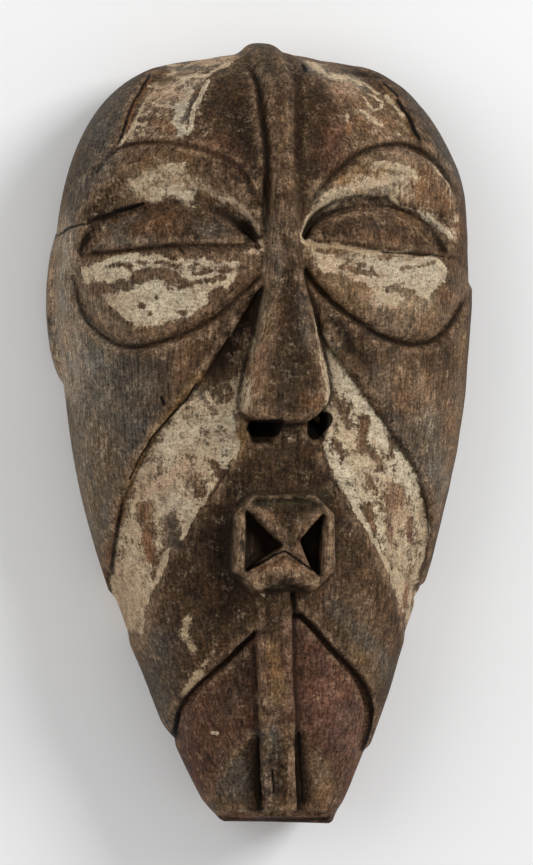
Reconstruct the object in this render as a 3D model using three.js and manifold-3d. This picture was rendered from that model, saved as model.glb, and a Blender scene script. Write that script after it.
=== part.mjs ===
// Miniature face mask, carved from one block of wood and hollow behind.
// It lies on its back rim with the face up: +X is the viewer's right, +Y the top of the head.
// All sizes are millimetres.
import * as THREE from 'three';
import { mergeVertices } from 'three/addons/utils/BufferGeometryUtils.js';
import Module from 'manifold-3d';

const wasm = await Module();
wasm.setup();

// Overall form: a long egg, widest at the eyes, on a skirt that tucks in to the back rim
const browY = 33;
const domeTopY = 86.4;
const chinCutY = -90;
const crestTopY = 90;
const halfWidth = 47.8;
const chinHalfWidth = 13.8;
const browDepth = 39;
const chinDepth = 15;
const widestZ = 13;
const chinRise = 10;
const sectionPower = 2.2;
const skirtTuck = 0.035;
const leanStartY = 20;
const leanAtChin = 1.9;
const keelHeight = 1.5;
const keelReach = 15;
const keelStartY = 56;
const keelMidX = 0.5;
const wallSide = 8;
const wallFront = 9;
const hollowBottomY = -74;

// Where the two sides leave the plain egg: size, middle y and reach of each soft bulge
const leftHollows = [[0.95, 12, 18], [0.6, -56, 10]];
const rightBulges = [[1.25, 57, 9], [0.45, 8, 18], [-0.7, -50, 8]];
const cornerY = 35;
const cornerOut = 0.9;
const cornerSharp = 2;
const cornerReach = 22;
const cornerFade = 20;

// Depth of each carved step below the dark raised surface
const panelStep = 1.3;
const bandStep = 1.8;
const socketStep = 3;
const socketSideStep = 1.5;
const coveStep = 1.3;
const slitDepth = 2;
const slitWidth = 1.1;
const chinStep = 1.8;
const chinSideStep = 1;
const grooveDepth = 1.3;
const grooveWidth = 1.5;
const jawGrooveDepth = 4;
const jawGrooveWidth = 1.7;
const leafDepth = 3.6;
const leafEdge = 0.5;
const frontOnlyZ = 15;

// Cut end of the chin: a bevel in front, a shallow arch below and two rounded corners
const lipBevelY = -87.3;
const lipBevelStep = 4.6;
const lipArch = 1.1;
const lipArchHalf = 10.5;
const lipCorner = 1;
const lipCornerStart = 11.5;
const lipCornerWidth = 3;

// Crest, nose, mouth box, bar and ears
const crestStartY = 46;
const crestRiseWidth = 7;
const crestWidth = 7;
const crestKnobWidth = 9.6;
const crestMidX = 0.7;
const knobMidX = -0.7;
const crestHeight = 2.2;
const crestSunk = 5;
const noseBottomY = 2.4;
const noseFoot = 6;
const noseBevel = 0.5;
const boxCentre = new THREE.Vector2(0.2, -24.7);
const boxWidth = 22.7;
const boxHeight = 21.6;
const boxCorner = 4.4;
const boxFootZ = 42;
const boxFrontZ = 58;
const boxBevel = 0.9;
const boxWebZ = 54.8;
const boxFloorZ = 49;
const boxLeftFloorZ = 53.2;
const webDrop = 1.6;
const notchDrop = 2.6;
const aboveZ = 80;
const barTop = new THREE.Vector2(-1.8, -35);
const barBottom = new THREE.Vector2(1.4, -86.4);
const barWidthTop = 8.2;
const barWidthBottom = 7.3;
const barLift = 1;
const barEdge = 0.4;
const barFoot = 7;
const earCentre = new THREE.Vector3(43, 30.3, 6.5);
const earRadii = new THREE.Vector2(6, 20);
const earThickness = 6;
const earHole = new THREE.Vector3(2.2, 3.1, 2.4);
const earHoleY = 25.5;

// Carved lines as seen from the front, each from the top down or from the nose outwards
const line = (...pairs) => pairs.map(([x, y]) => new THREE.Vector2(x, y));
const sides = {
  left: {
    temple: line([-19, 89], [-22.1, 84.4], [-27.9, 79.4], [-30.4, 75.8], [-32.3, 71.2], [-34, 65]),
    panelInner: line([-1.5, 90], [-9.5, 83.4], [-13.1, 81.4], [-15.3, 79], [-17.3, 74.7], [-20.8, 65]),
    brow: line([-5.2, 52.4], [-9, 59.5], [-16.2, 63.6], [-26, 65.7], [-34, 64.8], [-39, 60.2], [-44, 52]),
    rim: line([-3.8, 44], [-7, 51.5], [-12, 57], [-19, 59.6], [-27, 61.4], [-33.5, 59.5], [-38.3, 55.8],
      [-42.2, 50], [-43.8, 40.6]),
    pouch: line([-5, 34.7], [-11.6, 28.4], [-17.7, 24.1], [-26.2, 20.4], [-32.2, 19.3], [-37.4, 20.8],
      [-42.5, 25.6], [-45.2, 35.5]),
    lid: line([-5.4, 42.9], [-8.4, 46.2], [-14.5, 50.3], [-22.4, 52.4], [-30.8, 51.7], [-37.6, 48.7],
      [-43.4, 41.2]),
    slit: line([-5, 42], [-12.2, 42.4], [-22, 42.4], [-33.9, 41.5], [-43.8, 40.6]),
    cove: line([-38.5, 48.9], [-43, 48.2], [-45.6, 46.3], [-48.7, 44]),
    crestGroove: line([-4.4, 83], [-3.4, 78], [-3.2, 73], [-2.8, 62], [-2.8, 55], [-3.6, 44]),
    cheek: line([-4.2, 33], [-12.8, 19.8], [-18.3, 11.5], [-24, 5], [-29.7, -3.8], [-34.3, -15.5],
      [-35.7, -25], [-35.4, -36], [-33.8, -42]),
    outside: line([-50, -43], [-50, -56]),
    muzzle: line([-7.5, 1], [-13.8, -11], [-19.6, -19.4], [-24.6, -26.6], [-27.1, -34.6], [-28.8, -42],
      [-31.5, -50]),
    jaw: line([-5.2, -44.6], [-10.2, -49.8], [-17.3, -56.6], [-20.6, -61.6], [-21.6, -66], [-21.2, -70.9]),
    jawEnd: line([-30, -72]),
    leaf: line([-3.6, -66], [-9, -73], [-12.2, -78.6], [-13.6, -86.4]),
    nostril: new THREE.Vector3(-4.4, 0.4, 50),
    nostrilRadii: new THREE.Vector3(2.9, 3.5, 6.5),
  },
  right: {
    temple: line([18, 89], [21.8, 83.2], [26.3, 79.3], [29.7, 74.7], [32.1, 71.2], [34.6, 64]),
    panelInner: line([2, 90], [8.4, 83.6], [12.5, 78.3], [15.3, 73.3], [16.8, 63.5]),
    brow: line([5.1, 48.1], [9.5, 55], [16.2, 61.8], [22.4, 64.8], [30, 65.7], [37.1, 62.3], [43.1, 55.2]),
    rim: line([4.6, 44.5], [6.5, 49.1], [11.3, 54.3], [18, 59.6], [26, 62.4], [33, 61], [39, 58],
      [43.2, 52.5], [43.6, 46.5], [40.5, 40.6]),
    pouch: line([5.4, 36.4], [10.4, 30.6], [16.9, 25.6], [23.5, 21.7], [31.7, 19.9], [39, 22.7],
      [44, 28.5], [46, 35]),
    lid: line([5.4, 43.6], [8.6, 47.5], [15.1, 50.4], [23.7, 51.2], [31.2, 49.4], [36.8, 45.5], [39.6, 41]),
    slit: line([5.5, 43.4], [18.2, 42.3], [31.7, 41.1], [40.5, 40.3]),
    cove: line([4.8, 44.5], [8, 49.8], [14.6, 53.2], [21.2, 54.1], [28.5, 52.4], [36.2, 48.8], [41.5, 44.5]),
    crestGroove: line([5, 81], [5.2, 76], [4.7, 66], [4.5, 56], [4.6, 46]),
    cheek: line([5, 34], [9, 23.2], [13.2, 17.2], [22.6, 5.4], [30.8, -6], [34.6, -12.5], [36.5, -20],
      [36.5, -28], [34.6, -35.5]),
    outside: line([50, -38], [50, -52]),
    muzzle: line([8.9, 1], [11.4, -9], [18.9, -20.6], [23, -26.4], [26.5, -33.1], [29.4, -40.2], [33, -48]),
    jaw: line([4.6, -41.2], [9.7, -45.8], [15.5, -51.4], [20.4, -56.9], [22.9, -62.6], [23, -67.9],
      [21.8, -72.4]),
    jawEnd: line([30, -74]),
    leaf: line([4.3, -65.4], [8.2, -71], [12.2, -73.8], [14.9, -78.9], [16, -86.4]),
    nostril: new THREE.Vector3(8.7, 1.4, 50),
    nostrilRadii: new THREE.Vector3(2.7, 3.9, 6.5),
  },
};
const barSlot = line([2.9, -36], [3.5, -41.5]);

// Front of the mouth box: the two pits, the sunk web over them and the notch in its lower rim
const box = {
  leftPit: line([-8.5, -17.6], [-8.7, -30.9], [-0.6, -25.1]),
  rightPit: line([9, -18.6], [4.2, -24.2], [6.6, -30.2], [8.2, -32]),
  webTop: line([-8.2, -16.4], [8.8, -16.4]),
  webPoint: line([4.2, -25.6], [0, -26.9], [-2, -26]),
  notchTop: line([-5.4, -35.2], [-2.6, -32.9], [0.2, -32.2], [3, -32.9], [5.8, -35.2]),
  notchFoot: line([5.8, -37], [-5.4, -37]),
};

// Nose from the root to just under the tip: y, midline x, half-width at the face and at the front facet, lift
const noseStations = [
  [60, 0.9, 3.6, 1.5, 1.6],
  [50, 0.8, 3.7, 1.6, 2.4],
  [40, 0.6, 3.9, 1.7, 3],
  [33, 1, 4.9, 2.2, 3.8],
  [24, 1.2, 6.9, 3.4, 6],
  [15, 1.2, 9.2, 5.4, 8.6],
  [8.5, 1.1, 10.4, 7.4, 10.2],
  [4.5, 1.2, 10.6, 8.2, 10.4],
  [2.4, 1.4, 10.4, 8.2, 10.1],
];

// Rounding of the nose tip's lower corners: where it starts from the midline, its width, rise and power
const tipCorners = [
  { side: -1, start: 6.6, width: 4.2, rise: 3.2, power: 1.5 },
  { side: 1, start: 3.5, width: 4.9, rise: 3.9, power: 1.7 },
];

function smoothStep(value) {
  const part = Math.min(Math.max(value, 0), 1);
  return part * part * (3 - 2 * part);
}

const bump = (y, [size, middle, reach]) => size * Math.exp(-(((y - middle) / reach) ** 2));

const sumOf = (bumps, y) => bumps.reduce((sum, one) => sum + bump(y, one), 0);

// How far the left side is drawn in and the right side stands out from the plain egg
function sideShifts(y) {
  const below = cornerY - y;
  const corner = smoothStep(below / cornerSharp) * smoothStep((cornerReach - below) / cornerFade);
  return { leftIn: sumOf(leftHollows, y), rightOut: sumOf(rightBulges, y) + cornerOut * corner };
}

// Lean, half-width, depth and height of the widest line of the egg at a given y
function eggSection(y, insetSide = 0, insetFront = 0) {
  const rise = Math.min(Math.max((y - browY) / (domeTopY - insetFront - browY), 0), 0.9999);
  const left = 1 - rise ** 2.2;
  const fall = Math.min(Math.max((browY - y) / (browY - chinCutY), 0), 1);
  const lowHalf = chinHalfWidth + (halfWidth - chinHalfWidth) * Math.cos(Math.PI / 2 * fall) ** 0.92;
  const lowDepth = chinDepth + (browDepth - chinDepth) * (1 - fall ** 3.3);
  const plain = y > browY ? (halfWidth - insetSide) * left ** (1 / 3.6) : lowHalf - insetSide;
  const depth = y > browY ? (browDepth - insetFront) * left ** (1 / 2.4) : lowDepth - insetFront;
  const { leftIn, rightOut } = sideShifts(y);
  const lean = leanAtChin * Math.max(0, (leanStartY - y) / (leanStartY - chinCutY)) + (leftIn + rightOut) / 2;
  return { lean, half: plain + (rightOut - leftIn) / 2, depth, widest: widestZ + chinRise * fall ** 4 };
}

// Height of the broad soft keel under the crest
function keel(x, y) {
  const rise = smoothStep((y - keelStartY) / (crestTopY - 10 - keelStartY));
  return keelHeight * rise * Math.exp(-(((x - keelMidX) / keelReach) ** 2));
}

// Height of the face, or of a floor inside it, over a point seen from the front
function faceHeight(x, y, insetSide = 0, insetFront = 0) {
  const { lean, half, depth, widest } = eggSection(y, insetSide, insetFront);
  const across = Math.min(Math.abs((x - lean) / half), 0.985);
  return widest + depth * (1 - across ** sectionPower) ** (1 / sectionPower);
}

// A point of the face, lifted along the outward direction there
function onFace(x, y, lift) {
  const step = 0.2;
  const slopeX = faceHeight(x - step, y) - faceHeight(x + step, y);
  const slopeY = faceHeight(x, y - step) - faceHeight(x, y + step);
  const normal = new THREE.Vector3(slopeX, slopeY, 2 * step).normalize();
  return new THREE.Vector3(x, y, faceHeight(x, y)).addScaledVector(normal, lift);
}

// Closed solid from a list of equal rings of points, with both ends capped
function loft(rings) {
  const count = rings[0].length;
  const points = rings.flat();
  const faces = [];
  for (let row = 0; row + 1 < rings.length; row += 1) {
    for (let i = 0; i < count; i += 1) {
      const a = row * count + i;
      const b = row * count + (i + 1) % count;
      faces.push(a, b, a + count, b, b + count, a + count);
    }
  }
  for (const row of [0, rings.length - 1]) {
    const centre = new THREE.Vector3();
    rings[row].forEach((point) => centre.addScaledVector(point, 1 / count));
    points.push(centre);
    for (let i = 0; i < count; i += 1) {
      const edge = [row * count + (i + 1) % count, row * count + i];
      faces.push(...(row === 0 ? edge : edge.reverse()), points.length - 1);
    }
  }
  const geometry = new THREE.BufferGeometry().setFromPoints(points);
  geometry.setIndex(faces);
  return toSolid(geometry);
}

function signedVolume(points, faces) {
  const [a, b, c] = [new THREE.Vector3(), new THREE.Vector3(), new THREE.Vector3()];
  let volume = 0;
  for (let i = 0; i < faces.length; i += 3) {
    a.fromArray(points, 3 * faces[i]);
    b.fromArray(points, 3 * faces[i + 1]);
    c.fromArray(points, 3 * faces[i + 2]);
    volume += a.dot(b.cross(c)) / 6;
  }
  return volume;
}

function toSolid(geometry) {
  geometry.deleteAttribute('normal');
  geometry.deleteAttribute('uv');
  const merged = mergeVertices(geometry, 1e-4);
  const points = merged.getAttribute('position').array;
  const faces = Uint32Array.from(merged.getIndex().array);
  if (signedVolume(points, faces) < 0) faces.reverse();
  return new wasm.Manifold(new wasm.Mesh({ numProp: 3, vertProperties: points, triVerts: faces }));
}

const smooth = (points, steps = 10) => new THREE.SplineCurve(points).getPoints(steps);

// Upright block over an outline drawn from the front
function block(outline, lowZ = frontOnlyZ, highZ = 80) {
  const shape = new THREE.Shape(outline);
  const geometry = new THREE.ExtrudeGeometry(shape, { depth: highZ - lowZ, bevelEnabled: false });
  return toSolid(geometry.translate(0, 0, lowZ));
}

// Narrow outline that follows a line
function stroke(points, width) {
  const edge = (side) => points.map((point, i) => {
    const ahead = points[Math.min(i + 1, points.length - 1)];
    const along = ahead.clone().sub(points[Math.max(i - 1, 0)]).normalize();
    return new THREE.Vector2(-along.y, along.x).multiplyScalar(side * width / 2).add(point);
  });
  return [...edge(1), ...edge(-1).reverse()];
}

// Heights of the egg's rings, closer together where the dome curves in
function ringHeights(topY, bottomY, domeRows, faceRows) {
  const heights = [];
  for (let row = 0; row < domeRows; row += 1) {
    heights.push(browY + (topY - browY) * Math.cos(Math.PI / 2 * row / domeRows));
  }
  heights.push(cornerY);
  for (let row = 0; row <= faceRows; row += 1) heights.push(browY + (bottomY - browY) * row / faceRows);
  return heights;
}

// Egg solid; the row and arch counts set how fine its facets are
function egg({
  insetSide = 0, insetFront = 0, topY = domeTopY - insetFront, bottomY = chinCutY - 6, floorZ = 0,
  tuck = skirtTuck, domeRows = 9, faceRows = 14, archCount = 26,
}) {
  const rings = [];
  for (const y of ringHeights(topY, bottomY, domeRows, faceRows)) {
    const { lean, half, depth, widest } = eggSection(y, insetSide, insetFront);
    const ring = [];
    const skirt = (side, part) => {
      const z = floorZ + (widest - floorZ) * part;
      const pull = 1 - tuck * (1 - part) ** 2;
      return new THREE.Vector3((lean + side * half) * pull, y * pull, z);
    };
    ring.push(skirt(-1, 0), skirt(-1, 0.5));
    for (let i = 0; i <= archCount; i += 1) {
      const angle = Math.PI * (i / archCount - 0.5);
      const across = Math.sign(angle) * Math.abs(Math.sin(angle)) ** (2 / sectionPower);
      const up = Math.abs(Math.cos(angle)) ** (2 / sectionPower);
      const point = new THREE.Vector3(lean + half * across, y, widest + depth * up);
      const outward = new THREE.Vector3(0, Math.max(y - keelStartY, 0), depth * up + 0.001).normalize();
      ring.push(point.addScaledVector(outward, keel(point.x, y)));
    }
    ring.push(skirt(1, 0.5), skirt(1, 0));
    rings.push(ring);
  }
  return loft(rings);
}

const floorEggs = new Map();

// Inner egg that carries the floor of a lowered field, made once for each pair of steps
function floorEgg(insetSide, insetFront) {
  const key = `${insetSide} ${insetFront}`;
  if (!floorEggs.has(key)) floorEggs.set(key, egg({ insetSide, insetFront }));
  return floorEggs.get(key);
}

// Lowered field inside an outline, its floor parallel to the face
function lowered(outline, stepDown, { sideStep = stepDown, lowZ = frontOnlyZ } = {}) {
  return block(outline, lowZ).subtract(floorEgg(sideStep, stepDown));
}

// Swelling with the given outline, highest over its middle
function swelling(outline, foot, lift) {
  const middle = new THREE.Vector2();
  outline.forEach((point) => middle.addScaledVector(point, 1 / outline.length));
  const ringAt = (size, height) => outline.map((point) => {
    const spot = point.clone().lerp(middle, 1 - size);
    return onFace(spot.x, spot.y, height);
  });
  const rings = [ringAt(1, -foot - 3), ringAt(1, -foot)];
  for (const size of [0.96, 0.86, 0.7, 0.45, 0.15]) {
    rings.push(ringAt(size, -foot + (foot + lift) * (1 - size ** 2) ** 0.6));
  }
  return loft(rings);
}

function carveForehead(side) {
  const inner = smooth(side.panelInner, 8);
  const outer = smooth(side.temple, 9);
  const lowerEdge = smooth(side.brow, 14).filter((point) => {
    const reach = Math.abs(point.x);
    return reach > Math.abs(inner.at(-1).x) + 0.5 && reach < Math.abs(outer.at(-1).x) - 0.5;
  });
  return [
    lowered([...outer, ...lowerEdge.reverse(), ...inner.reverse()], panelStep),
    lowered(stroke(smooth(side.brow), grooveWidth), grooveDepth),
    lowered(stroke(smooth(side.crestGroove, 6), grooveWidth), grooveDepth),
  ];
}

const between = (upper, lower, steps) => [...smooth(upper, steps), ...smooth(lower, steps).reverse()];

function carveSocket(side) {
  return lowered(between(side.rim, side.pouch, 13), socketStep, { sideStep: socketSideStep });
}

// The slot that runs out over the left cheek, and the hollow under the right brow roll
function carveCoves() {
  const { left, right } = sides;
  return [
    lowered(stroke(smooth(left.cove, 5), grooveWidth), grooveDepth, { lowZ: 8 }),
    lowered(between(right.cove, right.lid, 9), socketStep + coveStep),
  ];
}

function eyeball(side) {
  const full = between(side.lid, side.pouch, 12);
  const middle = full[0].clone().lerp(full[Math.floor(full.length / 2)], 0.5);
  const outline = full.map((point) => point.clone().lerp(middle, 0.03));
  const slit = lowered(stroke(smooth(side.slit, 8), slitWidth), slitDepth);
  return swelling(outline, socketStep + 0.3, 0.4).subtract(slit);
}

function carveBand(side) {
  const outline = [...smooth(side.cheek, 13), ...side.outside, ...smooth(side.muzzle, 10).reverse()];
  return lowered(outline, bandStep, { sideStep: 1.2, lowZ: -1 });
}

function carveChin() {
  const left = smooth(sides.left.jaw, 9);
  const right = smooth(sides.right.jaw, 9);
  const low = line([30, -99], [-30, -99]);
  const outline = [...sides.left.jawEnd, ...left.slice().reverse(), ...right, ...sides.right.jawEnd, ...low];
  const groove = { sideStep: chinSideStep, lowZ: 20 };
  return [
    lowered(outline, chinStep, { sideStep: chinSideStep, lowZ: -1 }),
    lowered(stroke(left, jawGrooveWidth), jawGrooveDepth, groove),
    lowered(stroke(right, jawGrooveWidth), jawGrooveDepth, groove),
    lowered(stroke(barSlot, grooveWidth), grooveDepth),
  ];
}

// The chin's cut end: bevelled in front, arched below, with rounded corners
function carveLip() {
  const bevel = line([-12.4, lipBevelY], [14.2, lipBevelY], [14.2, -99], [-12.4, -99]);
  const reaches = [0, 0.25, 0.5, 0.75, 1].map((part) => part * lipArchHalf);
  reaches.push(...[0, 0.3, 0.6, 1].map((part) => lipCornerStart + part * lipCornerWidth));
  const half = (side) => reaches.map((reach) => {
    const arch = lipArch * Math.max(0, 1 - (reach / lipArchHalf) ** 2);
    const corner = lipCorner * smoothStep((reach - lipCornerStart) / lipCornerWidth);
    return new THREE.Vector2(leanAtChin + side * reach, chinCutY + arch + corner);
  });
  const edge = [...half(-1).reverse(), ...half(1).slice(1)];
  return [
    lowered(bevel, lipBevelStep, { sideStep: chinSideStep, lowZ: 20 }),
    block([...edge, ...line([20, -99], [-20, -99])], -1),
  ];
}

const barPart = (y) => (y - barTop.y) / (barBottom.y - barTop.y);
const barX = (y) => barTop.x + (barBottom.x - barTop.x) * barPart(y);

// Leaf-shaped scoop beside the bar, slanting down to it
function carveLeaf(side) {
  const points = smooth(side.leaf, 8);
  const deepFrom = 0.4;
  const rings = points.map((point, i) => {
    const scoop = leafDepth * Math.min(1, i / (points.length - 1) / deepFrom);
    const edgeZ = faceHeight(point.x, point.y, chinSideStep, chinStep) - leafEdge;
    const valleyX = barX(point.y);
    const valleyZ = faceHeight(valleyX, point.y) - chinStep - scoop;
    const middle = [(point.x + valleyX) / 2, (edgeZ + valleyZ) / 2];
    const ring = [[point.x, edgeZ], middle, [valleyX, valleyZ], [valleyX, aboveZ], [point.x, aboveZ]];
    return ring.map(([x, z]) => new THREE.Vector3(x, point.y, z));
  });
  return loft(rings);
}

// Lower edge of the nose, its two corners rounded off
function noseOutline() {
  const [, middle, foot] = noseStations.at(-1);
  const outline = line([middle + foot + 1, 66], [middle - foot - 1, 66]);
  for (let across = -foot - 1; across <= foot + 1; across += 1.2) {
    let y = noseBottomY;
    for (const { side, start, width, rise, power } of tipCorners) {
      y += rise * Math.max(0, (side * across - start) / width) ** power;
    }
    outline.push(new THREE.Vector2(middle + across, y));
  }
  return outline;
}

function makeNose() {
  const rings = noseStations.map(([y, x, foot, front, lift]) => {
    const surface = faceHeight(x, y);
    const side = [[foot, -noseFoot], [foot, -0.6], [front, lift - noseBevel], [front * 0.6, lift]];
    const ring = [...side.map(([across, up]) => [-across, up]), ...side.slice().reverse()];
    return ring.map(([across, up]) => new THREE.Vector3(x + across, y, surface + up));
  });
  return loft(rings).intersect(block(noseOutline(), 0));
}

// Rounded ridge over the crown, ending in a knob behind the top
function makeCrest() {
  const rings = [];
  const faceRows = 12;
  const backRows = 3;
  const sideCount = 8;
  const backDrop = 22;
  for (let row = 0; row <= faceRows + backRows; row += 1) {
    const turn = (row / faceRows) * Math.PI / 2;
    const along = Math.sin(Math.min(turn, Math.PI / 2));
    const y = crestStartY + (domeTopY - crestStartY) * along;
    const overTop = Math.max(0, turn - Math.PI / 2);
    const base = row < faceRows ? faceHeight(0, y) : widestZ + 6 - backDrop * overTop;
    const knob = along ** 8;
    const half = THREE.MathUtils.lerp(crestWidth, crestKnobWidth, knob) / 2;
    const ridge = crestHeight * smoothStep((y - crestStartY + 1) / crestRiseWidth);
    const height = THREE.MathUtils.lerp(ridge + keel(0, y), crestTopY - domeTopY, knob);
    const midline = THREE.MathUtils.lerp(crestMidX, knobMidX, knob);
    const place = (across, up) =>
      new THREE.Vector3(midline + across, y + up * Math.sin(turn), base + up * Math.cos(turn));
    const ring = [];
    for (let i = 0; i <= sideCount; i += 1) {
      const angle = Math.PI * (i / sideCount - 0.5);
      ring.push(place(half * Math.sin(angle), -1 + (height + 1) * Math.cos(angle)));
    }
    ring.push(place(half, -crestSunk), place(-half, -crestSunk));
    rings.push(ring);
  }
  return loft(rings);
}

function cutCornerOutline(width, height, corner) {
  const [w, h] = [width / 2, height / 2];
  const corners = [[w, h - corner], [w - corner, h], [corner - w, h], [-w, h - corner],
    [-w, corner - h], [corner - w, -h], [w - corner, -h], [w, corner - h]];
  return corners.map(([x, y]) => new THREE.Vector2(boxCentre.x + x, boxCentre.y + y));
}

const atHeight = (outline, z) => outline.map((point) => new THREE.Vector3(point.x, point.y, z));

// Cutter open above, with a slanting floor
const floorCut = (floor) => loft([floor, floor.map((point) => new THREE.Vector3(point.x, point.y, aboveZ))]);

// Square speaking tube: a rim round two pits, parted by a sunk web, with a notch in the lower rim
function makeMouthBox() {
  const side = cutCornerOutline(boxWidth, boxHeight, boxCorner);
  const front = cutCornerOutline(boxWidth - 2 * boxBevel, boxHeight - 2 * boxBevel, boxCorner - boxBevel / 2);
  const edgeZ = boxFrontZ - boxBevel;
  const body = loft([atHeight(side, boxFootZ), atHeight(side, edgeZ), atHeight(front, boxFrontZ)]);
  const [outer, low, tip] = box.leftPit;
  const leftPit = [...atHeight([outer, low], boxLeftFloorZ), ...atHeight([tip], boxFloorZ)];
  const web = [...atHeight(box.webTop, boxFrontZ - webDrop), ...atHeight(box.webPoint, boxWebZ)];
  const notch = [...atHeight(box.notchTop, boxFrontZ), ...atHeight(box.notchFoot, boxFrontZ - notchDrop)];
  return [leftPit, atHeight(box.rightPit, boxFloorZ), web, notch].reduce(
    (solid, floor) => solid.subtract(floorCut(floor)), body);
}

// Flat bar from the mouth box down to the cut chin, a little narrower below
function makeBar() {
  const rings = [];
  const rowCount = 10;
  for (let row = 0; row <= rowCount; row += 1) {
    const spot = barTop.clone().lerp(barBottom, row / rowCount);
    const half = THREE.MathUtils.lerp(barWidthTop, barWidthBottom, row / rowCount) / 2;
    const surface = faceHeight(spot.x, spot.y);
    const side = [[half, -barFoot], [half, barLift - barEdge], [half - 2 * barEdge, barLift]];
    const ring = [...side.map(([across, up]) => [-across, up]), ...side.slice().reverse()];
    rings.push(ring.map(([across, up]) => new THREE.Vector3(spot.x + across, spot.y, surface + up)));
  }
  return loft(rings);
}

function makeEar(side) {
  const edge = new THREE.EllipseCurve(side * earCentre.x, earCentre.y, earRadii.x, earRadii.y);
  const outline = edge.getPoints(28).slice(1);
  return block(outline, earCentre.z - earThickness / 2, earCentre.z + earThickness / 2);
}

function ellipsoid(centre, radii) {
  const ball = new THREE.SphereGeometry(1, 12, 8).scale(radii.x, radii.y, radii.z);
  return toSolid(ball.translate(centre.x, centre.y, centre.z));
}

function makeMask() {
  let body = egg({ bottomY: chinCutY });
  body = body.add(makeEar(-1)).add(makeEar(1));
  const cuts = [...carveChin(), ...carveLip(), ...carveCoves()];
  for (const side of Object.values(sides)) {
    cuts.push(...carveForehead(side), carveSocket(side), carveBand(side), carveLeaf(side));
    cuts.push(ellipsoid(side.nostril, side.nostrilRadii));
  }
  for (const side of [-1, 1]) {
    const edgeX = side * (earCentre.x + earRadii.x);
    const spot = new THREE.Vector3(edgeX, earHoleY, earCentre.z + earThickness / 2);
    cuts.push(ellipsoid(spot, earHole));
  }
  cuts.forEach((cut) => { body = body.subtract(cut); });
  for (const side of Object.values(sides)) body = body.add(eyeball(side));
  body = body.add(makeNose()).add(makeCrest()).add(makeMouthBox()).add(makeBar());
  const hollow = egg({
    insetSide: wallSide, insetFront: wallFront, bottomY: hollowBottomY, floorZ: -1, tuck: 0,
    domeRows: 7, faceRows: 8, archCount: 16,
  });
  return body.subtract(hollow);
}

function toMesh(solid, name, material) {
  const { vertProperties, triVerts } = solid.getMesh();
  const geometry = new THREE.BufferGeometry();
  geometry.setAttribute('position', new THREE.BufferAttribute(vertProperties, 3));
  geometry.setIndex(new THREE.BufferAttribute(triVerts, 1));
  geometry.computeVertexNormals();
  const mesh = new THREE.Mesh(geometry, material);
  mesh.name = name;
  return mesh;
}

const darkWood = new THREE.MeshStandardMaterial({ color: 0x54463a, roughness: 0.8, metalness: 0 });

const group = new THREE.Group();
group.add(toMesh(makeMask(), 'mask', darkWood));
export default group;
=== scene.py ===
# Miniature carved mask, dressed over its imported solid.
# The mask lies on its back rim with the face up: +X is the viewer's right, +Y the top of the head.
# Shapes are worked out in millimetres and turned to metres when the mesh is made.
import math

import bpy
import numpy as np
from mathutils import Matrix, Vector


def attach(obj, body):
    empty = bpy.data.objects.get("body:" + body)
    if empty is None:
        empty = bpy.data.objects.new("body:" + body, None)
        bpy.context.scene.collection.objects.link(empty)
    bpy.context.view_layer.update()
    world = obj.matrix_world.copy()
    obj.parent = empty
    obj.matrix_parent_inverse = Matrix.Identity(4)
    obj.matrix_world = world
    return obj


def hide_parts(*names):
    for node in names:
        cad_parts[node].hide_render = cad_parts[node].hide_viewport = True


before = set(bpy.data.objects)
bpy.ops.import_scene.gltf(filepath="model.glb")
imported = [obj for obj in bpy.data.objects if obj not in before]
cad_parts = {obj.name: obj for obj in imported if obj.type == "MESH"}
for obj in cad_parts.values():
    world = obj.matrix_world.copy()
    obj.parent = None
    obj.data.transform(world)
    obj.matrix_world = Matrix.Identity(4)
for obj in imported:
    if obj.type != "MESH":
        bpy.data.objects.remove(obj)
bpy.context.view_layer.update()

MM = 0.001

# Overall form, as in the solid
BROW_Y = 33.0
DOME_TOP_Y = 86.4
CHIN_CUT_Y = -90.0
HALF_WIDTH = 47.8
CHIN_HALF_WIDTH = 13.8
BROW_DEPTH = 39.0
CHIN_DEPTH = 15.0
WIDEST_Z = 13.0
CHIN_RISE = 10.0
SECTION_POWER = 2.2
SKIRT_TUCK = 0.035
LEAN_START_Y = 20.0
LEAN_AT_CHIN = 1.9
WALL_SIDE = 8.0
WALL_FRONT = 9.0
HOLLOW_BOTTOM_Y = -74.0
HOLLOW_WIDTH_SHARE = 0.75
TOP_Z = 62.2
HOLLOW_TOP_GAP = 0.05

# How fast the egg closes over the dome and down to the chin
DOME_POWER = 2.2
DOME_SIDE_POWER = 1 / 3.6
DOME_FRONT_POWER = 1 / 2.4
DOME_END_SHARE = 0.9999
TAPER_POWER = 0.92
FRONT_POWER = 3.3
RISE_POWER = 4
EDGE_SHARE = 0.985
DOME_END_GAP = 0.01

# Unevenness of the two sides: size, y and reach of each swelling or dip
LEFT_CHEEK = (0.95, 12.0, 18.0)
LEFT_MUZZLE = (0.6, -56.0, 10.0)
RIGHT_CHEEK = (0.45, 8.0, 18.0)
RIGHT_MUZZLE = (0.7, -50.0, 8.0)
RIGHT_BROW = (1.25, 57.0, 9.0)
CORNER_Y = 35.0
CORNER_OUT = 0.9
CORNER_SHARP = 2.0
CORNER_REACH = 22.0
CORNER_FADE = 20.0

# Forehead panels and the cut along the brow
PANEL_STEP = 1.4
PANEL_SHALLOW = 0.5
PANEL_FADE = 11.0
PANEL_GAP = 0.3
PANEL_INNER_EDGE = 0.6
BROW_CUT_LEAST = 0.4
BROW_CUT_START_X = 4.0
BROW_CUT_END_X = 44.0
BROW_CUT_FADE = (5.0, 6.0)

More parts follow.
